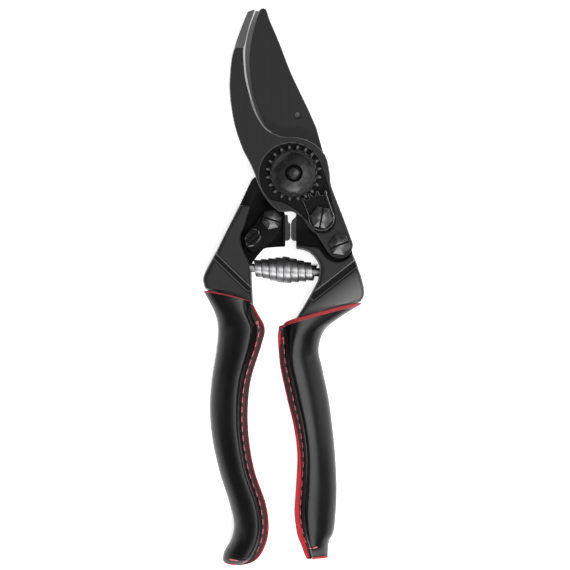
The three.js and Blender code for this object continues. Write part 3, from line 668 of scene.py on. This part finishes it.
# Lighter oxide: worn screw heads, and the nut's tooth bevels and the catch's bevels painted lighter as a
# painted highlight.
hardware_worn_and_highlight = oxide("hardware_worn_and_highlight", (0.07, 0.07, 0.07), (0.12, 0.12, 0.12), 0.36)
# A light oxide painted on the segment's bevels: a painted highlight.
edge_highlight = oxide("edge_highlight", (0.3, 0.3, 0.3), (0.6, 0.6, 0.6), 0.36)


def toothed():
    """Dark steel, painted lighter on the teeth away from the pivot's axis as a painted highlight, and
    painted darker at their roots as painted shade.
    """
    material, shader, place = finish_of("toothed_steel")
    flat = place.at((100, 100, 0))
    radius = flat.node("ShaderNodeVectorMath", {"operation": "LENGTH"}, {0: flat}, 1)  # 1 at 10 mm
    # Painted highlight on the outer half of the teeth, painted shade in a ring at their roots.
    tone = radius.node("ShaderNodeValToRGB", {"stops": [
        (0.0, 0.2), (0.74, 0.2), (0.77, 0.0), (0.84, 0.0), (0.9, 0.7), (1.0, 1.0),
    ]}, {"Fac": radius})
    feed(
        shader,
        Base_Color=tone.between((0.004, 0.004, 0.004), (0.12, 0.12, 0.12)),
        Metallic=0.5,
        Specular_IOR_Level=0.2,
        Roughness=0.55,
        Normal=place.noise(1800, 3).bump(0.02 * MM, 0.4),
    )
    return material


nut_low, nut_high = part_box("pivot_nut")
segment_low, segment_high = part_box("locking_segment")
NUT_BACK, HUB_TOP = nut_low.z / MM, nut_high.z / MM
NUT_FRONT = segment_high.z / MM
NUT_TEETH = 20
NUT_ROOT, NUT_TIP = 8.1, 9.8
NUT_BORE = 3
HUB_RADIUS, BOLT_HOLE = 7.3, 2.8
NUT_CHAMFER, SEGMENT_CHAMFER = 0.28, 0.14
PITCH = 360 / NUT_TEETH
SEGMENT_X, SEGMENT_Y = 9.7, -15.6
SEGMENT_ROOT, SEGMENT_TIP, SEGMENT_BACK = 7.9, 9.5, 4.5  # radii
SEGMENT_TEETH = 4
LINE_OF_CENTRES = math.degrees(math.atan2(SEGMENT_Y, SEGMENT_X))


def gear_line(x, y, teeth, first, root, tip):
    """The outline of so many teeth round (x, y), the first of them centred at an angle."""
    # From a tooth's root to its tip: (share of the pitch from its centre, radius).
    flank = [(0.3, root), (0.22, root + 0.4), (0.17, tip - 0.4), (0.07, tip)]
    tooth = [(-share, radius) for share, radius in flank] + flank[::-1]
    line = []
    for k in range(teeth):
        centre = first + k * PITCH
        for share, radius in tooth:
            angle = math.radians(centre + share * PITCH)
            line.append((x + radius * math.cos(angle), y + radius * math.sin(angle)))
    return line


teeth = plate(
    "nut_teeth",
    [
        gear_line(0, 0, NUT_TEETH, LINE_OF_CENTRES - PITCH / 4, NUT_ROOT, NUT_TIP),
        arc(0, 0, NUT_BORE, 0, 350, 35),
    ],
    NUT_BACK, NUT_FRONT, NUT_CHAMFER,
)
hub = turned("nut_hub", 0, 0, [
    (BOLT_HOLE, NUT_BACK), (HUB_RADIUS, NUT_BACK), (HUB_RADIUS, NUT_FRONT + 0.5), (7.1, NUT_FRONT + 0.75),
    (6, NUT_FRONT + 1.35), (4.6, NUT_FRONT + 1.8), (3.2, HUB_TOP), (2.9, HUB_TOP - 0.3),
    (BOLT_HOLE, HUB_TOP - 0.8), (BOLT_HOLE, NUT_BACK),
])
FLAT_TURN = math.radians(135)
FLAT_DISTANCE = 5.65  # from the axis to each of the hub's two flats
for side in (-1, 1):
    across = (side * math.cos(FLAT_TURN), side * math.sin(FLAT_TURN), 0)
    cut_away(hub, Vector(across) * FLAT_DISTANCE * MM, across)
for material in (toothed(), hardware_worn_and_highlight):
    teeth.data.materials.append(material)
hub.data.materials.append(hub_black)
# The teeth's bevels get the lighter oxide: a painted highlight.
paint_slanted(teeth, 1, 0.2, 0.95)
join(teeth, hub)
teeth.name = "toothed_nut"
smooth_shade(teeth, 28)
done(teeth, "right_side", [], ["pivot_nut"])

segment = plate(
    "toothed_segment",
    [[
        *gear_line(
            SEGMENT_X, SEGMENT_Y, SEGMENT_TEETH, LINE_OF_CENTRES + 180 - 2.25 * PITCH,
            SEGMENT_ROOT, SEGMENT_TIP,
        ),
        *arc(SEGMENT_X, SEGMENT_Y, SEGMENT_BACK, 172, 368, 30),
    ]],
    NUT_BACK, NUT_FRONT, SEGMENT_CHAMFER,
)
# The segment's face is painted near black: painted shade in the recess.
segment.data.materials.append(shade_black)
segment.data.materials.append(edge_highlight)
# The segment's bevels are painted light: a painted highlight outline.
paint_slanted(segment, 1, 0.2, 0.95)
smooth_shade(segment, 25)
done(segment, "right_side", [], ["locking_segment"])

for node in ("pivot_bolt", "blade_screw"):
    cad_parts[node].data.materials.clear()
    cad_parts[node].data.materials.append(hardware)


# ---------------------------------------------------------------- screws
# Three slotted steel screws with domed hexagon heads, turned and milled, black oxide with lighter
# rubbed facets. They are driven in from the front, into the segment, the hook's tang and the catch.


def hexagon(angle):
    """How far a hexagon's side is at an angle, its corners being at 1."""
    return math.cos(math.pi / 6) / math.cos((angle % (math.pi / 3)) - math.pi / 6)


# A head's rings: (share of its radius, height from its top, 1 for a hexagon to 0 for a circle).
HEAD_RINGS = [
    (0.0, -2.0, 1), (1, -2.0, 1), (1, -1.15, 1), (0.95, -0.95, 1), (0.7, -0.5, 1), (0.42, -0.14, 0.9),
    (0.3, -0.05, 0.7), (0.15, -0.01, 0.5), (0.0, 0, 0),
]
SHANK_RADIUS = 1.95
SLOT_WIDTH, SLOT_DEPTH = 0.65, 0.95


def screw(name, node, body, head, slot_degrees):
    """A screw in place of a CAD node, with its head's radius and its slot's direction."""
    low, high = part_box(node)
    x, y = (low.x + high.x) / 2 / MM, (low.y + high.y) / 2 / MM
    foot, top = low.z / MM, high.z / MM
    turn = math.radians(slot_degrees)

    def radius_at(index, angle):
        share, _, square = HEAD_RINGS[index]
        return max(0.001, head * share * (square * hexagon(angle) + (1 - square)))

    made = loft(name, wheel(x, y, radius_at, [top + dz for _, dz, _ in HEAD_RINGS], 72, turn))
    shank = turned(
        name + "_shank", x, y,
        [(0, foot), (SHANK_RADIUS, foot), (SHANK_RADIUS, top - 1.6), (0, top - 1.6)], 32,
    )
    bpy.ops.object.select_all(action="DESELECT")
    bpy.ops.mesh.primitive_cube_add(size=1, location=(x * MM, y * MM, top * MM), rotation=(0, 0, turn))
    slot_tool = bpy.context.object
    slot_tool.scale = (SLOT_WIDTH * MM, 3 * head * MM, 2 * SLOT_DEPTH * MM)
    bpy.ops.object.transform_apply(location=True, rotation=True, scale=True)
    carve(made, slot_tool)
    made.data.materials.append(hardware_worn_and_highlight)
    made.data.materials.append(shade_black)
    # The slot is painted near black: painted shade down in it.
    for face in made.data.polygons:
        off = (face.center.x - x * MM) * math.cos(turn) + (face.center.y - y * MM) * math.sin(turn)
        if abs(off) < (SLOT_WIDTH / 2 + 0.015) * MM and face.center.z > (top - 1.2) * MM:
            face.material_index = 1
    shank.data.materials.append(hardware_worn_and_highlight)
    join(made, shank)
    smooth_shade(made, 14)
    done(made, body, [], [node])


screw("segment_screw_head", "segment_screw", "right_side", 4.1, -10)
screw("hook_screw_head", "hook_screw", "right_side", 3.9, -68)
screw("catch_screw_head", "catch_screw", "left_side", 3.7, 72)


# ---------------------------------------------------------------- rubber stops
# Two moulded black rubber pads, one pressed into the inner side of each handle. They meet when the
# jaws are closed, with a fine slit between them.


def rubber():
    material, shader, place = finish_of("rubber")
    dust = place.noise(700, 4)
    feed(
        shader,
        Base_Color=dust.ramp(0.4, 0.8).between((0.012, 0.012, 0.012), (0.03, 0.03, 0.029)),
        Roughness=0.6 + 0.2 * dust,
        Normal=place.noise(3000, 2).bump(0.03 * MM, 0.5),
    )
    return material


stop_rubber = rubber()
stop_low, stop_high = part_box("left_buffer")
STOP_CHAMFER = 0.2
STOPS = {
    "left": [(-3.1, -14.5), (-2.05, -14.6), (-1.95, -16.9), (-1.13, -17.7), (-1.08, -22.3), (-1.4, -23.1),
             (-2.3, -23.6), (-3.1, -23.5)],
    "right": [(1.1, -14.6), (0.35, -15.6), (-0.55, -16.4), (-0.9, -17.6), (-0.92, -22.3), (-0.6, -23.2),
              (0.2, -23.6), (1.1, -23.5)],
}
for side, outline in STOPS.items():
    stop = plate(f"{side}_stop", [outline], stop_low.z / MM, stop_high.z / MM, STOP_CHAMFER)
    smooth_shade(stop, 40)
    done(stop, f"{side}_side", [stop_rubber], [f"{side}_buffer"])


# ---------------------------------------------------------------- thumb catch
# Forged light-alloy lever with a ridged pad for the thumb, coated as the handles are. It turns on
# its own screw in the left handle.

catch = copy_of("thumb_catch", "catch_lever")
modify(catch, "BEVEL", width=0.22 * MM, segments=2, limit_method="ANGLE")
catch.data.materials.append(handle_black)
catch.data.materials.append(hardware_worn_and_highlight)
# The catch's bevels get the lighter oxide: a painted highlight.
paint_slanted(catch, 1, 0.3, 0.95)
smooth_shade(catch, 30)
done(catch, "catch", [], ["thumb_catch"])


# ---------------------------------------------------------------- spring
# Barrel-shaped volute wound from flat zinc-plated strip. It sits on a peg on each handle and pushes
# them apart. It is built here at rest, in the closed shape.


def zinc():
    material, shader, place = finish_of("zinc")
    cloud = place.noise(500, 4)
    feed(
        shader,
        Base_Color=cloud.ramp(0.3, 0.75).between((0.2, 0.2, 0.205), (0.34, 0.34, 0.345)),
        Metallic=1.0,
        Roughness=0.36 + 0.2 * cloud,
    )
    return material


spring_zinc = zinc()
SPRING_LEFT = Vector((-14.5, -33, 8.5))
SPRING_RIGHT = Vector((8.6, -34.6, 8.5))
TURNS = 8
STEPS = 56 * TURNS
END_RADIUS, BULGE = 2.6, 1.9  # the coil's radius at its ends, and how much more in the middle
STRIP_WIDTH = 2.3
STRIP = 0.45
# The strip's rounded section, in halves of its width and of its thickness.
STRIP_SECTION = [
    (-1, -1), (-0.93, -1.1), (0.93, -1.1), (1, -1), (1, 1), (0.93, 1.1), (-0.93, 1.1), (-1, 1),
]
axis = (SPRING_RIGHT - SPRING_LEFT).normalized()
across = Vector((-axis.y, axis.x, 0))
length = (SPRING_RIGHT - SPRING_LEFT).length
PEG_GAP = 0.3
margin = PEG_GAP + STRIP_WIDTH / 2
strip_rings = []
for i in range(STEPS + 1):
    run = i / STEPS
    turn = 2 * math.pi * TURNS * run
    radius = END_RADIUS + BULGE * (1 - abs(2 * run - 1))
    along = margin + run * (length - 2 * margin)
    outward = across * math.cos(turn) + Vector((0, 0, math.sin(turn)))
    strip_rings.append([
        (SPRING_LEFT + axis * (along + w * STRIP_WIDTH / 2) + outward * (radius + t * STRIP / 2)) * MM
        for w, t in STRIP_SECTION
    ])
spring = loft("volute", strip_rings)
smooth_shade(spring, 35)
spring.data.materials.append(spring_zinc)
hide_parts("volute_spring")
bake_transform(spring)

# The pegs, the bush, the catch's washer and the dowel keep their plain shapes.
for node in ("left_spring_peg", "right_spring_peg", "pivot_bush", "catch_washer", "hook_dowel"):
    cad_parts[node].data.materials.clear()
    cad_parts[node].data.materials.append(spring_zinc)


# ---------------------------------------------------------------- leather grips
# Each grip is one cut of black leather drawn round the handle, its two long edges stitched
# together as a flat seam on the inner side. The red lining shows at the rim and at the cut edges.

# Edge points from the rim to the butt: outer edge, inner edge.
GRIPS = {
    "left": (
        [(-31.4, -41.4), (-27.7, -48.5), (-26.4, -54), (-26.9, -61.2), (-28.6, -72), (-29.3, -82),
         (-28.4, -93), (-25.9, -104.5), (-22.4, -115.5), (-20.9, -122.5), (-21.8, -127.8), (-24.2, -132),
         (-24.8, -135), (-24.1, -136.3)],
        [(-14.3, -45.7), (-13, -48.4), (-10.2, -54), (-11.4, -60.3), (-14.9, -71.6), (-16.1, -82),
         (-15.7, -93), (-13.7, -104.3), (-10, -115), (-8.8, -122.5), (-9.4, -128.5), (-11.7, -133.6),
         (-14.8, -136.2), (-19.2, -137.2)],
    ),
    "right": (
        [(24, -45.5), (16.3, -50.4), (10.8, -55), (8.8, -61.5), (10, -68), (12.3, -79), (13.7, -89.6),
         (14.6, -99), (15.1, -110), (14.7, -119.5), (14, -125.4), (12.5, -128.6), (12.1, -132),
         (11.9, -134.4)],
        [(-5.1, -53.4), (-5.4, -57.5), (-5.1, -62.5), (-4.6, -67.5), (-3.7, -72), (-1.9, -80),
         (0.3, -89.3), (1.4, -99), (0.9, -110), (0.4, -118.5), (1.3, -126), (2.9, -130.4), (3.8, -132.9),
         (4.7, -134.9)],
    ),
}
GRIP_DEPTH = 17
RIM_RISE = 1.4  # the rim stands higher on the front and the back than at its two ends
# Width of the stitched lip beside the tube: (run, width).
LIP = {
    "left": [(0, 0.15), (0.06, 1.7), (0.12, 3), (0.17, 2.9), (0.24, 2.3), (0.75, 2.3), (1, 1.4)],
    "right": [(0, 1.7), (0.08, 2.3), (0.8, 2.3), (1, 1.7)],
}
CROWN = -0.33  # where the section is highest, as a share of the half width
LIP_HALF = 0.75  # half the lip's thickness
LEATHER = 0.7
RIM_REACH = 0.075  # the run over which the rim's rise fades out
BUTT_START, BUTT_THINNING = 0.86, 0.55  # where the depth starts to fall, and by what share it does
# How full the section is, from boxy at the rim to round: exponents and the run of the change.
RIM_FULLNESS, ROUND_FULLNESS, FULLNESS_RUN = 0.23, 0.5, 0.14


def point_on(line, run):
    """The point of a line at run, 0 being its start and 1 its end."""
    place = run * (len(line) - 1)
    index = min(int(place), len(line) - 2)
    t = place - index
    a, b = line[index], line[index + 1]
    return Vector((a[0] + (b[0] - a[0]) * t, a[1] + (b[1] - a[1]) * t, 0))


def smooth_step(low, high, value):
    """0 below low, 1 above high and an even curve between them."""
    t = min(1, max(0, (value - low) / (high - low)))
    return t * t * (3 - 2 * t)


def between_stops(stops, run):
    """The width at run, from (run, width) pairs."""
    for (a, low), (b, high) in zip(stops, stops[1:]):
        if run <= b:
            return low + (high - low) * (run - a) / (b - a)
    return stops[-1][1]


class Grip:
    """Gives places on one leather sleeve: how far along it, across it and up from its middle."""

    def __init__(self, side):
        outer_points, inner_points = GRIPS[side]
        self.outer = curved(outer_points, 12)
        self.inner = curved(inner_points, 12)
        self.lip = LIP[side]

    def size_at(self, run):
        """Half its width and half its depth, in millimetres."""
        width = (point_on(self.outer, run) - point_on(self.inner, run)).length
        return width / 2, GRIP_DEPTH / 2 * (1 - BUTT_THINNING * smooth_step(BUTT_START, 1, run))

    def place(self, run, across, up):
        a, b = point_on(self.outer, run), point_on(self.inner, run)
        at = (a + b) / 2 + (a - b).normalized() * across
        rise = max(0, abs(up) / GRIP_DEPTH * 2.4 - 0.35)
        at.y += RIM_RISE * (1 - smooth_step(0, RIM_REACH, run)) * rise
        at.z = GRIP_DEPTH / 2 + up
        return at * MM

    def lip_at(self, run):
        return between_stops(self.lip, run)

    def height_at(self, run, u, inset=0.0):
        """How high the front stands at u across: lip, inner slope, then a round outer side."""
        half, depth = (size - inset for size in self.size_at(run))
        root, crown = -half + self.lip_at(run), CROWN * half
        roundness = smooth_step(0, FULLNESS_RUN, run)
        fullness = ROUND_FULLNESS - (ROUND_FULLNESS - RIM_FULLNESS) * (1 - roundness)
        if u <= root:
            return LIP_HALF
        if u < crown:
            t = (crown - u) / (crown - root)
            return LIP_HALF + (depth - LIP_HALF) * (1 - t ** 2.6) ** fullness
        return max(0, 1 - ((u - crown) / (half - crown)) ** 2) ** fullness * depth

    def ring(self, run, inset=0.0):
        """The closed section at run, from the lip's front round the tube to the lip's back."""
        half = self.size_at(run)[0] - inset
        root, crown = -half + self.lip_at(run), CROWN * half
        across = [-half + (root + half) * share for share in (0.35, 0.65, 0.92)]
        across += [root + (crown - root) * (k / 16) ** 1.4 for k in range(1, 17)]
        across += [crown + math.sin(math.pi / 2 * k / 13) * (half - crown) for k in range(1, 13)]
        front = [(-half, 0.35), (-half + 0.12, LIP_HALF * 0.92)]
        front += [(u, self.height_at(run, u, inset)) for u in across]
        section = [*front, (half, 0), *[(u, -w) for u, w in reversed(front)]]
        return [self.place(run, u, w) for u, w in section]


def leather():
    material, shader, place = finish_of("leather")
    cells = place.node(
        "ShaderNodeTexVoronoi", {"feature": "DISTANCE_TO_EDGE"}, {"Vector": place, "Scale": 1500},
    )
    creases = cells.ramp(0.0, 0.14)
    cloud = place.noise(120, 5)
    pores = place.noise(4200, 3)
    feed(
        shader,
        Base_Color=cloud.ramp(0.3, 0.8).between((0.004, 0.004, 0.004), (0.007, 0.007, 0.007)),
        Specular_IOR_Level=0.22,
        Roughness=0.26 + 0.08 * cloud + 0.05 * pores,
        Normal=(0.5 * creases + 0.5 * pores).bump(0.02 * MM, 0.3),
    )
    return material


def fibrous(name, dark, light):
    """Rough leather, as its cut edges and its lining are."""
    material, shader, place = finish_of(name)
    fibres = place.noise(2600, 4)
    feed(
        shader,
        Base_Color=fibres.ramp(0.3, 0.75).between(dark, light),
        Roughness=0.6 + 0.2 * fibres,
        Normal=fibres.bump(0.08 * MM, 0.5),
    )
    return material


def thread(name, dark, light):
    material, shader, place = finish_of(name)
    twist = place.node("ShaderNodeTexWave", {"bands_direction": "DIAGONAL"}, {"Vector": place, "Scale": 900})
    feed(
        shader,
        Base_Color=twist.ramp(0.2, 0.8).between(dark, light),
        Roughness=0.55,
        Normal=twist.bump(0.05 * MM, 0.6),
    )
    return material


black_leather = leather()
raw_edge = fibrous("raw_edge", (0.004, 0.003, 0.003), (0.045, 0.016, 0.015))
# Near black with almost no gloss, for the crease at the foot of each tube: painted shade.
crease_shade_black = fibrous("crease_shade_black", (0.002, 0.002, 0.002), (0.005, 0.005, 0.005))
feed(crease_shade_black.node_tree.nodes["Principled BSDF"], Specular_IOR_Level=0.05)
lining_red = fibrous("lining_red", (0.3, 0.008, 0.012), (0.75, 0.02, 0.032))
rim_red = fibrous("rim_red", (0.16, 0.006, 0.01), (0.42, 0.014, 0.022))
thread_pink = thread("thread_pink", (0.5, 0.05, 0.07), (0.85, 0.22, 0.26))
thread_dark = thread("thread_dark", (0.16, 0.006, 0.01), (0.3, 0.012, 0.02))
RINGS = 150
STITCH = 3.35  # from one stitch to the next
STITCH_GAP = 1.15
STITCH_RADIUS = 0.21
SEAM_INSET = 1.95  # from the sleeve's inner edge to the seam
SEAM_STEPS = 600
GROOVE_RADIUS, TAIL_RADIUS, KNOT_RADIUS = 0.12, 0.3, 0.26
EDGE_STEPS = 160
EDGE_START, EDGE_RUN = 0.012, 0.96  # of the cut edge, from the end of the red rim

# The red lining that shows at the inner edge: (run, width).
LINING = {
    "left": [(0.0, 0.7), (0.12, 0.6), (0.17, 0.35), (0.35, 0.22), (0.5, 0.35), (0.7, 0.5), (0.9, 0.65),
             (1, 0.7)],
    "right": [(0.0, 0.9), (0.1, 0.9), (0.15, 0.4), (0.4, 0.4), (0.52, 1.0), (0.6, 1.6), (0.8, 1.7),
              (0.92, 1.3), (1, 1.2)],
}
RIM_RUN = {"left": 0.013, "right": 0.03}  # where the red rim ends
SEAM_RUN = {"left": (0.13, 0.91), "right": (0.09, 0.875)}
TAIL = {"left": 6.5, "right": 3.2}  # length of the thread's end across the butt


def cord_through(name, places, radius, sides=10):
    """A thin round strand along places, in metres, thinner at both ends."""
    rings = []
    for i, at in enumerate(places):
        ahead = places[min(i + 1, len(places) - 1)] - places[max(i - 1, 0)]
        sideways = ahead.cross(Vector((0, 0, 1))).normalized()
        upward = sideways.cross(ahead).normalized()
        thick = radius * MM * (0.55 if i in (0, len(places) - 1) else 1)
        turns = [2 * math.pi * k / sides for k in range(sides)]
        rings.append([at + (sideways * math.cos(a) + upward * math.sin(a)) * thick for a in turns])
    return loft(name, rings)


for side in ("left", "right"):
    grip = Grip(side)
    body = f"{side}_side"
    start = RIM_RUN[side] - 0.002
    runs = [start + (1 - start) * (i / RINGS) for i in range(RINGS + 1)]
    rings = [grip.ring(run) for run in runs]
    strips = len(rings[0])
    # Painted shade: the strips in the crease at the foot of the tube get the near-black material.
    crease_strips = set(range(4, 12))  # the strips at the foot of the tube, where the leather turns into the lip
    crease_strips |= {strips - 2 - strip for strip in crease_strips}
    slots = [int(strip in crease_strips) for strip in range(strips)]
    sleeve = loft(f"{side}_leather", rings, slots, open_start=True)
    modify(sleeve, "SOLIDIFY", thickness=LEATHER * MM, offset=-1)
    smooth_shade(sleeve, 32)
    done(sleeve, body, [black_leather, crease_shade_black], [f"{side}_cover"])

    # The lining is turned over the rim as a red band.
    rim_rings = [grip.ring(run, inset) for run, inset in (
        (0.004, 1.4), (0.0, 0.9), (0.0, 0.3), (0.001, 0.03), (0.5 * start, -0.06), (start, -0.02),
        (start + 0.002, 0.3), (start + 0.002, 1.4),
    )]
    rim = loft(f"{side}_lining_rim", [*rim_rings, rim_rings[0]], open_start=True)
    smooth_shade(rim, 50)
    done(rim, body, [rim_red], [f"{side}_rim"])

    # The lip's rough edge, and the red lining that stands proud of it.
    edge_rings, lining_rings = [], []
    for i in range(EDGE_STEPS + 1):
        run = start + EDGE_START + (EDGE_RUN - start) * i / EDGE_STEPS
        half, _ = grip.size_at(run)
        lip = grip.lip_at(run)
        wide = min(between_stops(LINING[side], run), 0.9 * lip)
        edge_rings.append([grip.place(run, -half + u, w) for u, w in (
            (lip + 0.2, LIP_HALF + 0.05), (0.3, LIP_HALF + 0.08), (-0.02, 0.4), (-0.02, -0.4),
            (0.3, -LIP_HALF - 0.08), (lip + 0.2, -LIP_HALF - 0.05), (lip + 0.1, 0),
        )])
        lining_rings.append([grip.place(run, -half + u, w) for u, w in (
            (wide, LIP_HALF + 0.06), (0.6 * wide, LIP_HALF + 0.28), (0.05, LIP_HALF + 0.1), (-0.12, 0.3),
            (-0.12, -0.3), (0.05, -LIP_HALF - 0.1), (0.6 * wide, -LIP_HALF - 0.28), (wide, -LIP_HALF - 0.06),
            (0.5 * wide, 0),
        )])
    edge = loft(f"{side}_lip_edge", edge_rings)
    smooth_shade(edge, 60)
    done(edge, body, [raw_edge])
    lining = loft(f"{side}_lining_edge", lining_rings)
    smooth_shade(lining, 60)
    done(lining, body, [lining_red])

    # A second red band closes the butt.
    butt_rings = [grip.ring(run, inset) for run, inset in (
        (0.972, 0.3), (0.972, -0.02), (0.985, -0.12), (1.003, -0.02), (1.003, 0.75), (0.99, 1.1),
    )]
    butt = loft(f"{side}_lining_butt", [*butt_rings, butt_rings[0]], open_start=True)
    smooth_shade(butt, 50)
    done(butt, body, [lining_red])

    # Running stitch through the lip, front and back: each stitch dips in at both ends.
    first, last = SEAM_RUN[side]
    strands = []
    for face in (1, -1):
        line = []
        for i in range(SEAM_STEPS + 1):
            run = first + (last - first) * i / SEAM_STEPS
            half, _ = grip.size_at(run)
            line.append(grip.place(run, -half + SEAM_INSET, face * LIP_HALF))
        travelled = [0.0]
        for a, b in zip(line, line[1:]):
            travelled.append(travelled[-1] + (b - a).length / MM)
        strands.append(cord_through("groove", line[::6], GROOVE_RADIUS, 6))
        strands[-1].data.materials.append(thread_pink)
        strands[-1].data.materials.append(thread_dark)
        for polygon in strands[-1].data.polygons:
            polygon.material_index = 1
        begin = 0.0 if face > 0 else STITCH / 2
        for number in range(int((travelled[-1] - begin) / STITCH)):
            places = []
            for step in range(9):
                t = step / 8
                distance = begin + number * STITCH + t * (STITCH - STITCH_GAP)
                index = bisect.bisect_left(travelled, distance)
                rise = math.sin(math.pi * t) ** 0.6 * 0.3 - 0.1
                places.append(line[min(index, SEAM_STEPS)] + Vector((0, 0, face * rise * MM)))
            strands.append(cord_through("stitch", places, STITCH_RADIUS))

    # A knot where the seam starts; its other end is drawn across the butt.
    half, _ = grip.size_at(last)
    tail = []
    for step in range(13):
        u = -half + SEAM_INSET + step / 12 * TAIL[side]
        tail.append(grip.place(last - 0.008, u, grip.height_at(last, u) + 0.1))
    strands += [cord_through("tail", tail[:5], STITCH_RADIUS), cord_through("tail", tail[6:], TAIL_RADIUS)]
    half, _ = grip.size_at(first)
    knot = grip.place(first, -half + SEAM_INSET, LIP_HALF + 0.15)
    for turn in (25, 80, 140):
        reach = Vector((math.cos(math.radians(turn)), math.sin(math.radians(turn)), 0)) * 0.55 * MM
        crest = knot + Vector((0, 0, 0.25 * MM))
        strands.append(cord_through("knot", [knot - reach, crest, knot + reach], KNOT_RADIUS))
    for strand in strands:
        if not strand.data.materials:
            strand.data.materials.append(thread_pink)
    join(strands[0], *strands[1:])
    strands[0].name = f"{side}_stitches"
    smooth_shade(strands[0], 60)
    done(strands[0], body, [], [f"{side}_seam"])
